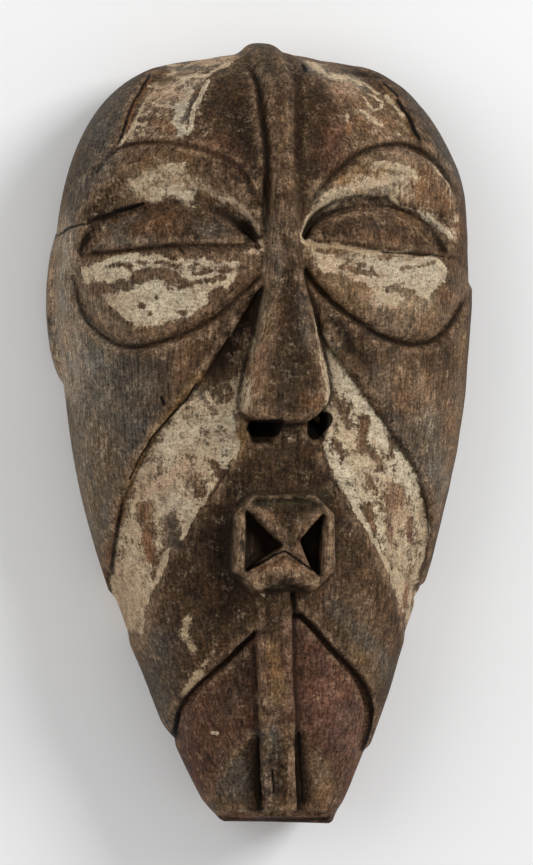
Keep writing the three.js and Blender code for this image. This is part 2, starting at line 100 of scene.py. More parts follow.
# Eyes: bowl, upper lid, slit, lower lid and the pouch under it
BOWL_DEPTH = 3.6
BOWL_FADE = 5.0
EYE_CURVE = 2.2
LID_EDGE_DEPTHS = (1.1, 0.3)
LID_CUT_HALF_WIDTH = 0.7
LID_CUT_MARGIN = 0.3
SLIT_CUT = (0.5, 0.6)
LOW_LID_DROP = (2.0, 1.5)
LOW_LID_ROLL = (1.3, 3.0)
LOW_LID_RAISE = 0.1
EYE_END_X = 47.5
EYE_FADE = 4.5
LEFT_BULGE = 1.0
RIGHT_BULGE = 0.2

# Slot over the left lid, cove and ledge of the right eye
SLOT_DEPTHS = (0.6, 1.7)
SLOT_HALF_WIDTH = 0.9
SLOT_DEEP_X = (-41.0, -30.5)
SLOT_DEEP_FADE = (3.0, 2.0)
SLOT_END_X = -48.8
SLOT_END_FADE = 1.5
COVE_DEPTH = 1.3
COVE_EDGE = 0.5
COVE_END_X = 42.0
COVE_FADE = 6.0
LEDGE_HEIGHT = 0.8
LEDGE_HALF_WIDTH = 0.55

# Cheek bands, chin and its leaves
BAND_STEP = 2.2
BAND_SHALLOW = 1.3
BAND_INNER_EDGE = 1.8
CHIN_STEP = 1.7
CHIN_EDGE = 0.3
BELOW_CHIN = [(30, -99), (-30, -99)]
LEAF_DEPTH = 4.0
LEAF_SHALLOW = 0.14
LEAF_CURVE = 1.5
LEAF_EDGE = 0.4
LEAF_FADE = 7.0
LEAF_EARLY = 1.0

# Bar under the mouth and the bevelled lip at its foot
BAR_TOP = (-1.8, -35.0)
BAR_BOTTOM = (1.4, -86.4)
BAR_WIDTH_TOP = 8.2
BAR_WIDTH_BOTTOM = 7.3
BAR_LIFT = 1.0
BAR_EDGE = 0.45
BAR_HIDDEN_TOP = 2
BAR_ROUNDING = 0.35
BAR_ROUND_WIDTH = 1.2
BAR_SLOT = [(2.8, -36.0), (3.4, -41.5)]
BAR_SLOT_CUT = (1.8, 1.2)
LIP_BEVEL = 3.2
LIP_SLOPE = 1.4
LIP_Y = -86.8
LIP_LEFT_X = -13.2
LIP_RIGHT_X = 15.0
LIP_END_FADE = 1.5
LIP_ARCH = 1.1
LIP_ARCH_HALF_WIDTH = 10.5
LIP_CORNER = 1.0
LIP_CORNER_X = 11.5
LIP_CORNER_FADE = 3.0
LIP_REACH_Y = -84.0
LIP_REACH_FADE = 4.0

# Crest and its keel
CREST_LEFT = [(-5.4, 88), (-4.8, 84), (-3.7, 80), (-3.2, 75), (-2.8, 64), (-2.7, 57), (-3.1, 50), (-3.6, 44)]
CREST_RIGHT = [(3.6, 88), (4.1, 84), (4.6, 80), (4.6, 75), (4.1, 66), (4.0, 56), (4.1, 48), (4.3, 44)]
CREST_HEIGHT = 2.2
CREST_START_Y = 50.0
CREST_EARLY = 6.0
CREST_END_Y = 44.0
CREST_RISE_REACH = 8.0
CREST_SQUARENESS = 2.4
CREST_ROUNDNESS = 0.6
CREST_SINK = 0.3
CREST_LEFT_CUT = (1.3, 1.5)
CREST_RIGHT_CUT = (0.6, 2.4)
CREST_CUT_START_Y = 42.0
CREST_CUT_END_Y = 88.0
CREST_CUT_FADE = (4.0, 8.0)
KNOB_Y = 80.0
KNOB_REACH = 8.0
KNOB_HEIGHT = 0.2
KNOB_CUT_LOSS = 0.6
KEEL_HEIGHT = 1.5
KEEL_START_Y = 56.0
KEEL_FADE = 24.0
KEEL_X = 0.5
KEEL_REACH = 15.0

# Nose from the root to just under the tip: y, midline x, half-width at the face and at the front facet, lift
NOSE_STATIONS = [
    (60, 0.9, 3.6, 1.5, 1.6),
    (50, 0.8, 3.7, 1.6, 2.4),
    (40, 0.6, 3.9, 1.7, 3.0),
    (33, 1.0, 4.9, 2.2, 3.8),
    (24, 1.2, 6.9, 3.4, 6.0),
    (15, 1.2, 9.2, 5.4, 8.6),
    (8.5, 1.1, 10.4, 7.4, 10.2),
    (4.5, 1.2, 10.6, 8.2, 10.4),
    (2.4, 1.4, 10.4, 8.2, 10.1),
]
NOSE_TOP_Y = 62.0
NOSE_TOP_FADE = 8.0
NOSE_BOTTOM_Y = 2.4
NOSE_SIDE_CURVE = 1.5
NOSE_CROWN = 0.05
NOSE_TIP_DROP = 0.07
NOSE_TIP_REACH = 1.6
NOSE_CUT_WIDTH = 0.5
NOSE_FOOT_STEEPNESS = 4
NOSE_FOOT_MARGIN = 0.2
# Rounding of the tip's two corners: height, where it starts, reach and power
NOSE_LEFT_ROUND = (3.2, 6.6, 4.2, 1.5)
NOSE_RIGHT_ROUND = (3.9, 3.5, 4.9, 1.7)
NOSTRIL_DEPTH = 6.8
NOSTRIL_SHALLOW = 0.3
NOSTRIL_SLANT_REACH = 1.4
NOSTRIL_POWER = 3
NOSTRIL_INSET = 0.85
NOSTRIL_EDGE = 0.45

# Mouth box with its rim, web, pits and notch
BOX_CENTRE = (0.2, -24.7)
BOX_WIDTH = 22.7
BOX_HEIGHT = 21.6
BOX_CORNER = 4.4
BOX_INNER_CORNER = 2.8
BOX_FRONT_Z = 58.0
BOX_EDGE_DROP = 0.9
BOX_EDGE_WIDTH = 1.6
BOX_SIDE_WALL = (0.15, 0.5)
BOX_RIM = 2.1
BOX_TOP_RIM = 0.7
BOX_RIM_EDGE = 0.9
WEB_CENTRE = (1.5, -24.2)
WEB_Z = 54.8
WEB_END_DROP = 0.4
WEB_NARROWING = 0.8
WEB_DIP = 2.0
WEB_DIP_REACH = 3.0
CRACK_PEAK = (0.0, -26.9)
CRACK_SLOPES = (0.43, 0.8)
CRACK_WAVE = (0.2, 2.6)
CRACK_EDGE = 0.35
CRACK_LOW_RISE = 1.4
CRACK_LOW_DROP = 0.1
CRACK_LOW_REACH = 2.2
PIT_FLOOR_Z = 49.0
PIT_EDGE = (0.2, 0.7)
PIT_SLOPE = (4.5, -3.0, 6.0)
NOTCH_TOP = (0.2, -32.2)
NOTCH_HALF_WIDTH = 5.6
NOTCH_ARCH = 2.8
NOTCH_DEPTH = 3.0

# Ear flanges
EAR_CENTRE = (43.0, 30.3, 6.5)
EAR_RADII = (6.0, 20.0)
EAR_THICKNESS = 6.0
EAR_EDGE = 0.9
EAR_HOLE_Y = 25.5
EAR_HOLE_RADII = (2.2, 3.1, 2.4)

# Carved lines as seen from the front, each from the top down or from the nose outwards
SIDES = {
    "left": {
        "temple": [(-19, 89), (-22.1, 84.4), (-27.9, 79.4), (-30.4, 75.8), (-32.3, 71.2), (-34, 65)],
        "temple_width": 1.8,
        "panel_inner": [(-1.5, 90), (-9.5, 83.4), (-13.1, 81.4), (-15.3, 79), (-17.3, 74.7), (-18.9, 70.8),
                        (-20.8, 65)],
        "brow": [(-5.2, 52.4), (-9, 59.5), (-16.2, 63.6), (-26, 65.7), (-34, 64.8), (-39, 60.2), (-44, 52)],
        "brow_cut": (1.3, 0.85),
        "bowl_end": 47.5,
        "lid_cut": 0.45,
        "rim": [(-3.8, 44), (-7, 51.5), (-12, 57), (-19, 59.6), (-27, 61.4), (-33.5, 59.5), (-38.3, 55.8),
                (-42.2, 50), (-43.6, 45), (-43.8, 40.6)],
        "cove": [(-31, 51.7), (-34.7, 50.6), (-38.5, 48.9), (-43.0, 48.2), (-45.6, 46.3), (-48.7, 44)],
        "lid": [(-5.4, 42.9), (-8.4, 46.2), (-14.5, 50.3), (-22.4, 52.4), (-30.8, 51.7), (-37.6, 48.7),
                (-43.4, 41.2)],
        "slit": [(-5, 42), (-12.2, 42.4), (-22, 42.4), (-33.9, 41.5), (-43.8, 40.6)],
        "pouch": [(-5, 34.7), (-11.6, 28.4), (-17.7, 24.1), (-26.2, 20.4), (-32.2, 19.3), (-37.4, 20.8),
                  (-42.5, 25.6), (-45.2, 35.5)],
        "pouch_cut": (1.4, 0.95),
        "cheek": [(-4.2, 33), (-12.8, 19.8), (-18.3, 11.5), (-24, 5), (-29.7, -3.8), (-34.3, -15.5),
                  (-35.7, -25), (-35.4, -36), (-33.8, -42)],
        "cheek_width": 1.2,
        "outside": [(-50, -43), (-50, -56)],
        "muzzle": [(-7.5, 1), (-13.8, -11), (-19.6, -19.4), (-24.6, -26.6), (-27.1, -34.6), (-28.8, -42),
                   (-31.5, -50)],
        "jaw": [(-5.2, -44.6), (-10.2, -49.8), (-17.3, -56.6), (-20.6, -61.6), (-21.6, -66), (-21.2, -70.9)],
        "jaw_end": (-30, -72),
        "jaw_cut": (3.2, 1.05),
        "leaf": [(-3.6, -66), (-9, -73), (-12.2, -78.6), (-13.6, -86.4)],
        "nostril": (-4.4, 0.6),
        "nostril_radii": (2.9, 3.6),
        "pit": [(-8.5, -17.6), (-8.7, -30.9), (-0.6, -25.1)],
    },
    "right": {
        "temple": [(18, 89), (21.8, 83.2), (26.3, 79.3), (29.7, 74.7), (32.1, 71.2), (34.6, 64)],
        "temple_width": 3.0,
        "panel_inner": [(2, 90), (8.4, 83.6), (12.5, 78.3), (15.3, 73.3), (15.8, 70.1), (16.8, 63.5)],
        "brow": [(5.1, 48.1), (9.5, 55), (16.2, 61.8), (22.4, 64.8), (30, 65.7), (37.1, 62.3), (43.1, 55.2)],
        "brow_cut": (2.0, 1.5),
        "bowl_end": 44.0,
        "lid_cut": 0.2,
        "rim": [(4.6, 44.5), (6.5, 49.1), (11.3, 54.3), (18, 59.6), (26, 62.4), (33, 61), (39, 58),
                (43.2, 52.5), (43.6, 46.5), (40.5, 40.6)],
        "cove": [(4.8, 44.5), (8, 49.8), (14.6, 53.2), (21.2, 54.1), (28.5, 52.4), (36.2, 48.8),
                 (41.5, 44.5)],
        "lid": [(5.4, 43.6), (8.6, 47.5), (15.1, 50.4), (23.7, 51.2), (31.2, 49.4), (36.8, 45.5), (39.6, 41)],
        "slit": [(5.5, 43.4), (18.2, 42.3), (31.7, 41.1), (40.5, 40.3)],
        "pouch": [(5.4, 36.4), (10.4, 30.6), (16.9, 25.6), (23.5, 21.7), (31.7, 19.9), (39, 22.7),
                  (44.8, 29.5), (49, 35)],
        "pouch_cut": (2.0, 1.35),
        "cheek": [(5, 34), (9, 23.2), (13.2, 17.2), (22.6, 5.4), (30.8, -6), (34.6, -12.5), (36.5, -20),
                  (36.5, -28), (34.6, -35.5)],
        "cheek_width": 2.0,
        "outside": [(50, -38), (50, -52)],
        "muzzle": [(8.9, 1), (11.4, -9), (18.9, -20.6), (23, -26.4), (26.5, -33.1), (29.4, -40.2), (33, -48)],
        "jaw": [(4.6, -41.2), (9.7, -45.8), (15.5, -51.4), (20.4, -56.9), (22.9, -62.6), (23.0, -67.9),
                (21.8, -72.4)],
        "jaw_end": (30, -74),
        "jaw_cut": (2.8, 1.0),
        "leaf": [(4.3, -65.4), (8.2, -71), (12.2, -73.8), (14.9, -78.9), (16, -86.4)],
        "nostril": (8.3, 1.7),
        "nostril_radii": (2.3, 3.9),
        "pit": [(9.0, -18.6), (4.2, -24.2), (6.6, -30.2), (8.2, -32.0)],
    },
}

# Top edge of the right lower lid, which stands a little under the slit
LEDGE = [(6.1, 42.9), (11.7, 41), (18.2, 40), (23.5, 39.7), (33.8, 39.8)]

# Deep soft hollows: x, y, radius, depth
HOLLOWS = [
    (-7.4, 45.8, 3.0, 1.6),
    (-5.8, 30.6, 2.3, 2.4),
    (-7.4, 26.0, 2.6, 1.8),
    (-11.2, 18.2, 2.4, 0.9),
    (8.0, 30.0, 4.5, 1.4),
]

# Fineness of the maps and of the mesh
MAP_STEP = 0.25
MAP_HALF = (54.0, 96.0)
RING_STEP = 0.4
DOME_RINGS = 190
ARC_COUNT = 340
SKIRT_COUNT = 30
INNER_COUNT = 90
WALL_COUNT = 14
VOXEL = 0.4
TRIANGLE_LIMIT = 195000
HOLLOW_THINNING = 0.95
PAINT_THINNING = 0.5
PAINTED_FROM = 0.12
FACING_UP = 0.3

# Width of the noise table, and how sharply a V cut narrows
NOISE_CELLS = 64
CUT_SHARPNESS = 1.3

# Unevenness of the hand carving: size, reach and seed
LINE_WAVES = ((7.0, 0.3, 3), (2.0, 0.05, 7))
BROAD_UNEVEN = (9.0, 0.16, 11)
FINE_UNEVEN = (2.4, 0.05, 17)
FINE_STRETCH = 3
EDGE_SOFTENING = 0.6

# Where the carving reaches over the steep sides
SEAT_DEPTH = 0.3
STEEP_FROM = 0.45
STEEP_REACH = 0.3
FRONT_FROM_Z = 11.0
FRONT_REACH = 5.0
CHIN_SIDE_Y = -60.0
CHIN_SIDE_FADE = 6.0
BAND_SIDE_Y = -36.0
BAND_SIDE_FADE = 4.0
SIDE_CARVE_SHARE = 0.45
SIDE_STEEPNESS = (1.6, 0.5)

# What counts as outside, and so is painted
OUTSIDE_DEPTH = 5.5
SKIRT_REACH = 4.5
CHIN_REACH = 2.0
NOSTRIL_EXTRA_DEPTH = 0.6
NOSTRIL_LINES_FROM = 0.3
BACK_FACING = -0.8

# Camera: the photograph's frame in pixels, the size of a pixel and the view's turn in degrees
PHOTO_SIZE = (533, 865)
PIXEL_MM = 180.0 / 780.0
VIEW_CENTRE_PIXEL = (261.0, 433.0)
VIEW_TURN = 7.0
VIEW_DISTANCE = 1500.0
SENSOR_HEIGHT = 36.0
CLIP_RANGE = (0.1, 10.0)

# Finding where a pixel meets the carved front: how many steps, and how far each one goes
PLACE_STEPS = 8
PLACE_SHARE = 0.7

# Floor and lights, in metres: direction, distance, size and brightness
FLOOR_REACH = 3.0
FLOOR_COLOUR = (0.9, 0.9, 0.9)
FLOOR_ROUGHNESS = 0.8
KEY_LIGHT = ((0.75, 0.45, 0.8), 1.3, 0.5, 0.55)
FILL_LIGHT = ((-0.7, 0.2, 0.8), 1.3, 0.9, 0.26)
LIGHT_AIM_Z = 0.03
SKY_BRIGHTNESS = 0.5

# How paint edges wander, how soot and painted shade gather in cuts and hollows, and how edges wear and carry
# painted highlights
WANDERS = ((0.5, 3.0, 3.0, 41), (0.7, 3.0, 3.0, 43), (0.25, 1.1, 1.4, 45))
AREA_EDGE = 1.0
PALE_AREA_INSET = 0.6
PALE_AREA_EDGE = 1.6
PALE_OUTLINE_SHARE = 1.05
PALE_OUTLINE_EDGE = 2.2
LOSS_STRENGTH = 1.25
LINE_WANDER = 0.3
LIFT_SOOT_AND_SHADE_SHARE = 0.35
CUT_BLURS = (0.25, 0.9)
CUT_SOOT_AND_SHADE = (0.66, 0.14, 0.45)
HOLLOW_BLUR = 4.0
HOLLOW_SHADE = (0.6, 0.35, 2.6)
WEAR_AND_HIGHLIGHT_BLUR = 1.0
WEAR_AND_HIGHLIGHT_START = 0.02
WEAR_AND_HIGHLIGHT_REACH = 0.14
MOTTLE = (5.0, 61, 0.22)
HUE_DRIFT = (8.0, 67, (0.05, 0.0, -0.07))

# Pigments and woods, as linear colours
PIGMENTS = {
    "black": (0.007, 0.005, 0.003),
    # near-black brown for soot, and also for painted shade in deep corners, hollows and grooves
    "soot_and_shade": (0.036, 0.021, 0.011),
    "umber": (0.068, 0.040, 0.022),
    "brown": (0.130, 0.078, 0.043),
    "tan": (0.225, 0.145, 0.083),
    "grey": (0.175, 0.142, 0.102),
    "ash": (0.290, 0.225, 0.160),
    "slate": (0.090, 0.076, 0.058),
    "olive": (0.058, 0.044, 0.026),
    "ochre": (0.260, 0.152, 0.062),
    "rust": (0.190, 0.090, 0.042),
    "red": (0.105, 0.046, 0.031),
    "rose": (0.190, 0.100, 0.068),
    "cream": (0.47, 0.36, 0.235),
    "white": (0.56, 0.475, 0.335),
    "chalk": (0.43, 0.375, 0.28),
    "blush": (0.41, 0.265, 0.168),
}
CHANNELS = ("red", "green", "blue")

# Colours, gloss and relief that the whole surface shares
DUST_COLOUR = (0.26, 0.205, 0.145, 1.0)
COOL_CAST = (0.96, 1.0, 1.05, 1.0)
WARM_CAST = (1.07, 1.0, 0.94, 1.0)
# lighter brown for rubbed edges, and also for painted highlights on edges
WORN_AND_LIT_COLOUR = (0.26, 0.165, 0.1, 1.0)
STAIN_COLOUR = (0.27, 0.165, 0.095, 1.0)
# near-black for soot and painted shade in the cuts and hollows
SOOT_AND_SHADE_COLOUR = (0.012, 0.007, 0.004, 1.0)
LINE_COLOUR = (0.003, 0.002, 0.0015, 1.0)
WOOD_GLOSS = 0.05
RELIEF_STRENGTH = 0.7
RELIEF_MM = 0.28
GRAIN_RELIEF = 0.7
FLECK_RELIEF = 0.6
PALE_RELIEF = 0.5
PATCH_RELIEF = 0.6
DUST_SHARE = 0.25
WORN_AND_LIT_SHARE = 0.8
STAIN_SHARE = 0.5
SOOT_AND_SHADE_LIMIT = 0.93
LINE_SHARE = 0.97
LINE_RAGGEDNESS = 1.2
PALE_ROUGHNESS = 0.88

# Noises of the surface: size in millimetres, detail, roughness, stretch and distortion
SURFACE_NOISES = {
    "grain": (0.6, 4.0, 0.7, (1.0, 8.0, 1.0), 0.2),
    "fleck": (0.75, 4.0, 0.8),
    "speck": (0.42, 2.0, 0.6),
    "blotch": (2.6, 6.0, 0.68),
    "patch": (6.0, 4.0, 0.6),
    "hue": (4.5, 4.0, 0.6),
    "stain": (3.4, 5.0, 0.7),
    "streak": (0.9, 4.0, 0.7, (4.0, 1.0, 1.0), 0.4),
}

# What a noise is turned into: lowest and highest noise, then the values there
WOOD_LIGHT = (
    ("grain", (0.3, 0.7, 0.5, 1.5)),
    ("blotch", (0.3, 0.7, 0.65, 1.3)),
    ("fleck", (0.28, 0.72, 0.42, 1.6)),
    ("speck", (0.3, 0.48, 0.35, 1.06)),
)
PAINT_LIGHT = (
    ("blotch", (0.3, 0.7, 0.84, 1.24)),
    ("fleck", (0.3, 0.62, 0.72, 1.2)),
    ("speck", (0.34, 0.46, 0.4, 1.03)),
)
SOOT_AND_SHADE_LIGHT = (0.25, 0.65, 0.55, 1.15)
WOOD_ROUGHNESS = (0.3, 0.7, 0.5, 0.76)
FILM_LIMITS = (0.15, 0.5, 0.0, 0.22)
STREAK_LIMITS = (0.32, 0.56, 0.5, 1.0)

# How ragged the pale paint ends, and its edge with the change that a wash makes to it
PALE_RAGGEDNESS = (("patch", 1.3), ("blotch", 1.4), ("fleck", 0.9), ("grain", 0.5))
PALE_EDGES = ((0.45, -0.3), (0.54, 0.3))

# Broad tones of each carved area: area, pigment, share
AREA_TONES = [
    ("panel left", "brown", 0.9), ("panel right", "brown", 0.8),
    ("bowl left", "brown", 0.9), ("bowl right", "tan", 0.7),
    ("low left", "brown", 0.8), ("low right", "tan", 0.45),
    ("lid left", "umber", 0.9), ("lid right", "umber", 0.9),
    ("band left", "brown", 0.85), ("band right", "brown", 0.9),
    ("chin", "red", 0.55),
    ("leaf left", "slate", 0.75), ("leaf right", "brown", 0.8),
]

# Soft strokes of tone, among them painted shade and painted highlights where marked, in order: pigment,
# half-width and share, then points in pixels of the photograph
TONE_STROKES = [
    # cheeks, temples and forehead
    ("grey", 36, 0.85, [(85, 340), (92, 400), (100, 450)]),
    ("grey", 30, 0.8, [(95, 460), (100, 520)]),
    ("ash", 13, 0.85, [(66, 225), (62, 300), (72, 390)]),
    ("slate", 26, 0.6, [(150, 380), (130, 440)]),
    ("brown", 22, 0.5, [(120, 500), (105, 450)]),
    ("brown", 26, 0.6, [(185, 350), (215, 330)]),
    ("rust", 10, 0.25, [(190, 345), (180, 372)]),
    ("slate", 26, 0.75, [(85, 190), (105, 130), (125, 95)]),
    ("grey", 9, 0.5, [(72, 210), (95, 185), (118, 160)]),
    ("brown", 24, 0.85, [(335, 320), (400, 390), (445, 420)]),
    ("tan", 14, 0.5, [(395, 365), (430, 385)]),
    ("slate", 10, 0.6, [(375, 375), (395, 430), (425, 470)]),
    # painted highlight down the right side edge, where it turns to the light
    ("tan", 10, 0.5, [(462, 330), (455, 440), (440, 510)]),
    ("grey", 16, 0.7, [(425, 420), (440, 480)]),
    # painted shadow on the wall of the right cheek's step
    ("soot_and_shade", 11, 1.0, [(334, 312), (348, 336), (364, 360)]),
    ("black", 6, 0.6, [(330, 316), (350, 344)]),
    ("slate", 22, 0.65, [(425, 105), (455, 170)]),
    ("soot_and_shade", 24, 0.95, [(228, 95), (240, 150), (250, 200)]),
    ("black", 12, 0.4, [(240, 110), (250, 170)]),
    ("umber", 14, 0.6, [(205, 110), (215, 140)]),
    ("red", 14, 0.35, [(215, 150), (235, 165)]),
    ("umber", 20, 0.9, [(310, 100), (325, 150), (300, 190)]),
    ("soot_and_shade", 16, 0.75, [(312, 100), (318, 140), (306, 190)]),
    ("red", 14, 0.45, [(335, 130), (330, 160)]),
    # painted shade on the crest's shadowed right flank
    ("soot_and_shade", 9, 0.8, [(300, 75), (304, 110), (304, 150)]),
    ("olive", 12, 0.9, [(260, 50), (268, 75)]),
    ("umber", 7, 0.6, [(272, 70), (280, 110), (288, 150)]),
    ("brown", 6, 0.6, [(284, 120), (288, 170), (290, 235)]),
    ("slate", 6, 0.7, [(268, 215), (274, 250), (280, 280)]),
    ("soot_and_shade", 4, 0.8, [(263, 120), (268, 170), (268, 215)]),
    # nose
    ("soot_and_shade", 18, 1.0, [(297, 280), (296, 330), (293, 395)]),
    ("black", 10, 0.3, [(297, 300), (293, 385)]),
    ("tan", 6, 0.4, [(272, 215), (278, 250)]),
    ("olive", 12, 0.4, [(292, 350), (290, 395)]),
    ("slate", 8, 0.6, [(305, 300), (310, 340)]),
    ("umber", 9, 0.5, [(285, 385), (305, 390)]),
    ("tan", 6, 0.75, [(270, 270), (266, 330), (256, 395)]),
    ("rose", 5, 0.5, [(262, 350), (254, 395)]),
    ("grey", 3, 0.7, [(263, 290), (259, 330), (255, 350)]),
    ("brown", 6, 0.7, [(322, 370), (324, 395)]),
    ("rust", 6, 0.35, [(305, 400), (318, 405)]),
    ("brown", 4, 0.8, [(262, 415), (285, 417), (310, 416)]),
    # painted shade under the nose tip
    ("soot_and_shade", 8, 0.8, [(256, 442), (290, 440), (322, 442)]),
    # washes of thin paint on the forehead
    ("grey", 8, 0.7, [(180, 66), (215, 60)]),
    ("blush", 8, 0.45, [(145, 94), (170, 92)]),
    ("rust", 8, 0.4, [(160, 124), (170, 128)]),
    ("cream", 4, 0.4, [(165, 86), (200, 76)]),
    ("slate", 3, 0.8, [(194, 98), (182, 120)]),
    ("grey", 8, 0.8, [(310, 66), (345, 78), (362, 84)]),
    ("blush", 8, 0.7, [(338, 86), (352, 90)]),
    ("blush", 4, 0.5, [(362, 112), (376, 120)]),
    ("rust", 3, 0.9, [(350, 124), (351, 132)]),
    ("tan", 12, 0.5, [(370, 110), (392, 128)]),
    # steps along the temples
    ("umber", 6, 0.9, [(158, 68), (138, 96), (124, 130), (119, 147)]),
    ("rust", 2.4, 0.6, [(150, 78), (133, 104), (124, 128)]),
    ("umber", 7, 0.9, [(358, 69), (381, 81), (401, 105), (412, 127), (420, 142)]),
    ("ochre", 2.5, 0.35, [(384, 88), (402, 112), (414, 138)]),
    # brows
    ("brown", 8, 0.8, [(120, 165), (160, 152), (200, 156)]),
    ("umber", 9, 0.8, [(215, 165), (240, 190)]),
    # painted highlight on the lit inner rim of the left bowl
    ("tan", 4, 0.8, [(205, 185), (228, 196), (246, 212), (258, 228), (263, 250)]),
    ("tan", 5, 0.7, [(360, 157), (385, 152)]),
    ("blush", 7, 0.45, [(398, 152), (414, 158)]),
    # eye bowls
    ("ochre", 12, 0.3, [(135, 180), (180, 172)]),
    ("umber", 12, 0.7, [(100, 196), (125, 182)]),
    ("ochre", 5, 0.3, [(108, 190), (128, 182)]),
    ("cream", 10, 0.6, [(135, 186), (160, 178), (190, 186)]),
    ("tan", 9, 0.6, [(190, 178), (225, 198), (245, 216)]),
    ("rust", 6, 0.4, [(205, 196), (230, 208)]),
    ("cream", 12, 0.5, [(330, 200), (360, 184), (400, 178)]),
    ("tan", 8, 0.6, [(400, 195), (440, 205)]),
    ("umber", 13, 0.9, [(92, 214), (106, 196), (122, 184)]),
    ("soot_and_shade", 5, 0.8, [(88, 232), (98, 216), (118, 213)]),
    ("soot_and_shade", 3, 0.8, [(86, 238), (83, 250)]),
    # painted shadow in the inner corner of the left bowl
    ("soot_and_shade", 8, 0.85, [(222, 210), (240, 224), (252, 240)]),
    ("umber", 4, 0.8, [(195, 199), (220, 207)]),
    ("rust", 13, 0.65, [(425, 182), (445, 202), (455, 225)]),
    ("brown", 10, 0.5, [(430, 188), (450, 212)]),
    ("ochre", 6, 0.7, [(340, 178), (362, 172), (388, 174)]),
    ("umber", 7, 0.85, [(316, 220), (330, 210), (350, 202)]),
    # painted shadow under the right brow roll
    ("soot_and_shade", 3, 0.9, [(345, 203), (372, 197), (395, 199), (415, 206)]),
    ("soot_and_shade", 4, 0.8, [(425, 210), (442, 214), (454, 222)]),
    # lids
    ("grey", 6, 0.55, [(100, 242), (125, 240), (150, 243)]),
    ("slate", 8, 0.6, [(115, 225), (135, 215)]),
    ("rust", 9, 0.4, [(145, 228), (175, 225)]),
    ("slate", 10, 0.5, [(200, 228), (220, 232)]),
    # painted shade in the deep inner corner of the left eye
    ("black", 7, 0.9, [(242, 226), (250, 240)]),
    # painted shade on the right lid beside the nose
    ("soot_and_shade", 10, 0.6, [(325, 234), (345, 222)]),
    ("brown", 8, 0.6, [(375, 212), (405, 216), (430, 236)]),
    ("rust", 6, 0.35, [(360, 235), (400, 240)]),
    ("brown", 3, 0.8, [(350, 205), (375, 203), (400, 207)]),
    ("umber", 4, 0.9, [(88, 254), (140, 250), (200, 250), (240, 248)]),
    ("ochre", 3, 0.4, [(95, 257), (130, 254)]),
    # lower lids and the broad roll under them
    ("brown", 12, 0.7, [(90, 300), (120, 328), (160, 338)]),
    ("grey", 5, 0.4, [(86, 290), (100, 312), (118, 326)]),
    ("umber", 12, 0.6, [(210, 312), (240, 290)]),
    ("ochre", 12, 0.35, [(330, 285), (360, 305)]),
    ("cream", 9, 0.45, [(380, 300), (430, 302)]),
    ("blush", 6, 0.45, [(365, 296), (400, 306)]),
    ("tan", 8, 0.7, [(310, 250), (360, 256), (405, 256)]),
    ("tan", 14, 0.5, [(400, 325), (440, 315)]),
    ("rust", 6, 0.6, [(438, 292), (450, 296)]),
    ("umber", 7, 0.6, [(450, 270), (452, 290)]),
    ("umber", 5, 0.7, [(400, 334), (425, 334)]),
    # bands
    # painted shade in the deep hollow at the top of the left band, beside the nose
    ("soot_and_shade", 17, 1.0, [(238, 326), (228, 345), (212, 368)]),
    ("black", 12, 0.8, [(238, 326), (222, 356)]),
    ("ochre", 4, 0.7, [(200, 378), (180, 400), (158, 430), (140, 460), (128, 488)]),
    ("tan", 15, 0.9, [(138, 525), (132, 560), (134, 590)]),
    ("tan", 9, 0.8, [(138, 600), (142, 640)]),
    ("tan", 12, 0.7, [(386, 560), (402, 590)]),
    ("tan", 12, 0.8, [(350, 440), (362, 480)]),
    ("cream", 12, 0.7, [(165, 505), (180, 480)]),
    ("tan", 12, 0.8, [(394, 540), (400, 575)]),
    ("white", 6, 0.6, [(330, 350), (345, 380)]),
    ("ochre", 5, 0.7, [(242, 420), (244, 445), (236, 462)]),
    ("rust", 7, 0.7, [(146, 512), (150, 560)]),
    ("rust", 4, 0.8, [(122, 500), (114, 540), (112, 575)]),
    ("brown", 8, 0.7, [(140, 625), (145, 660)]),
    ("umber", 7, 0.6, [(190, 482), (202, 490)]),
    ("slate", 7, 0.7, [(172, 525), (172, 542)]),
    ("blush", 10, 0.6, [(396, 490), (398, 520)]),
    ("rose", 4, 0.6, [(391, 525), (393, 545)]),
    ("rose", 4, 0.6, [(411, 525), (411, 545)]),
    ("blush", 6, 0.7, [(404, 590), (402, 612)]),
    ("brown", 8, 0.6, [(338, 405), (346, 440)]),
    ("cream", 10, 0.5, [(170, 440), (200, 425)]),
    ("grey", 9, 0.6, [(195, 400), (210, 432)]),
    ("blush", 8, 0.5, [(165, 470), (195, 466)]),
    ("blush", 7, 0.6, [(122, 565), (140, 560)]),
    ("cream", 6, 0.6, [(128, 590), (136, 625)]),
    ("rust", 6, 0.5, [(408, 590), (404, 615)]),
    # muzzle
    # darkening around the mouth box: dirt, and painted shade of its walls
    ("soot_and_shade", 26, 0.9, [(225, 540), (222, 600), (245, 470), (300, 465), (330, 490)]),
    # painted shadow on the mouth box's left wall
    ("black", 22, 0.6, [(228, 530), (222, 600)]),
    ("umber", 12, 0.6, [(270, 450), (310, 450)]),
    ("rust", 7, 0.25, [(200, 560), (215, 600)]),
    ("slate", 13, 0.75, [(158, 640), (158, 690), (168, 720)]),
    ("olive", 10, 0.4, [(150, 690), (165, 715)]),
    ("brown", 22, 0.85, [(345, 590), (375, 640)]),
    ("slate", 10, 0.6, [(335, 605), (352, 628), (390, 668)]),
    ("umber", 12, 0.7, [(350, 520), (352, 560)]),
    ("ochre", 7, 0.45, [(352, 650), (364, 662)]),
    ("tan", 5, 0.35, [(375, 655), (378, 680)]),
    # mouth box
    # painted highlights on the box's left and right rims
    ("tan", 3.4, 0.8, [(240, 512), (239, 545), (240, 570), (256, 585)]),
    ("tan", 3.2, 0.9, [(331, 515), (330, 550), (325, 572), (312, 586)]),
    ("brown", 4, 0.6, [(250, 505), (270, 517), (283, 530)]),
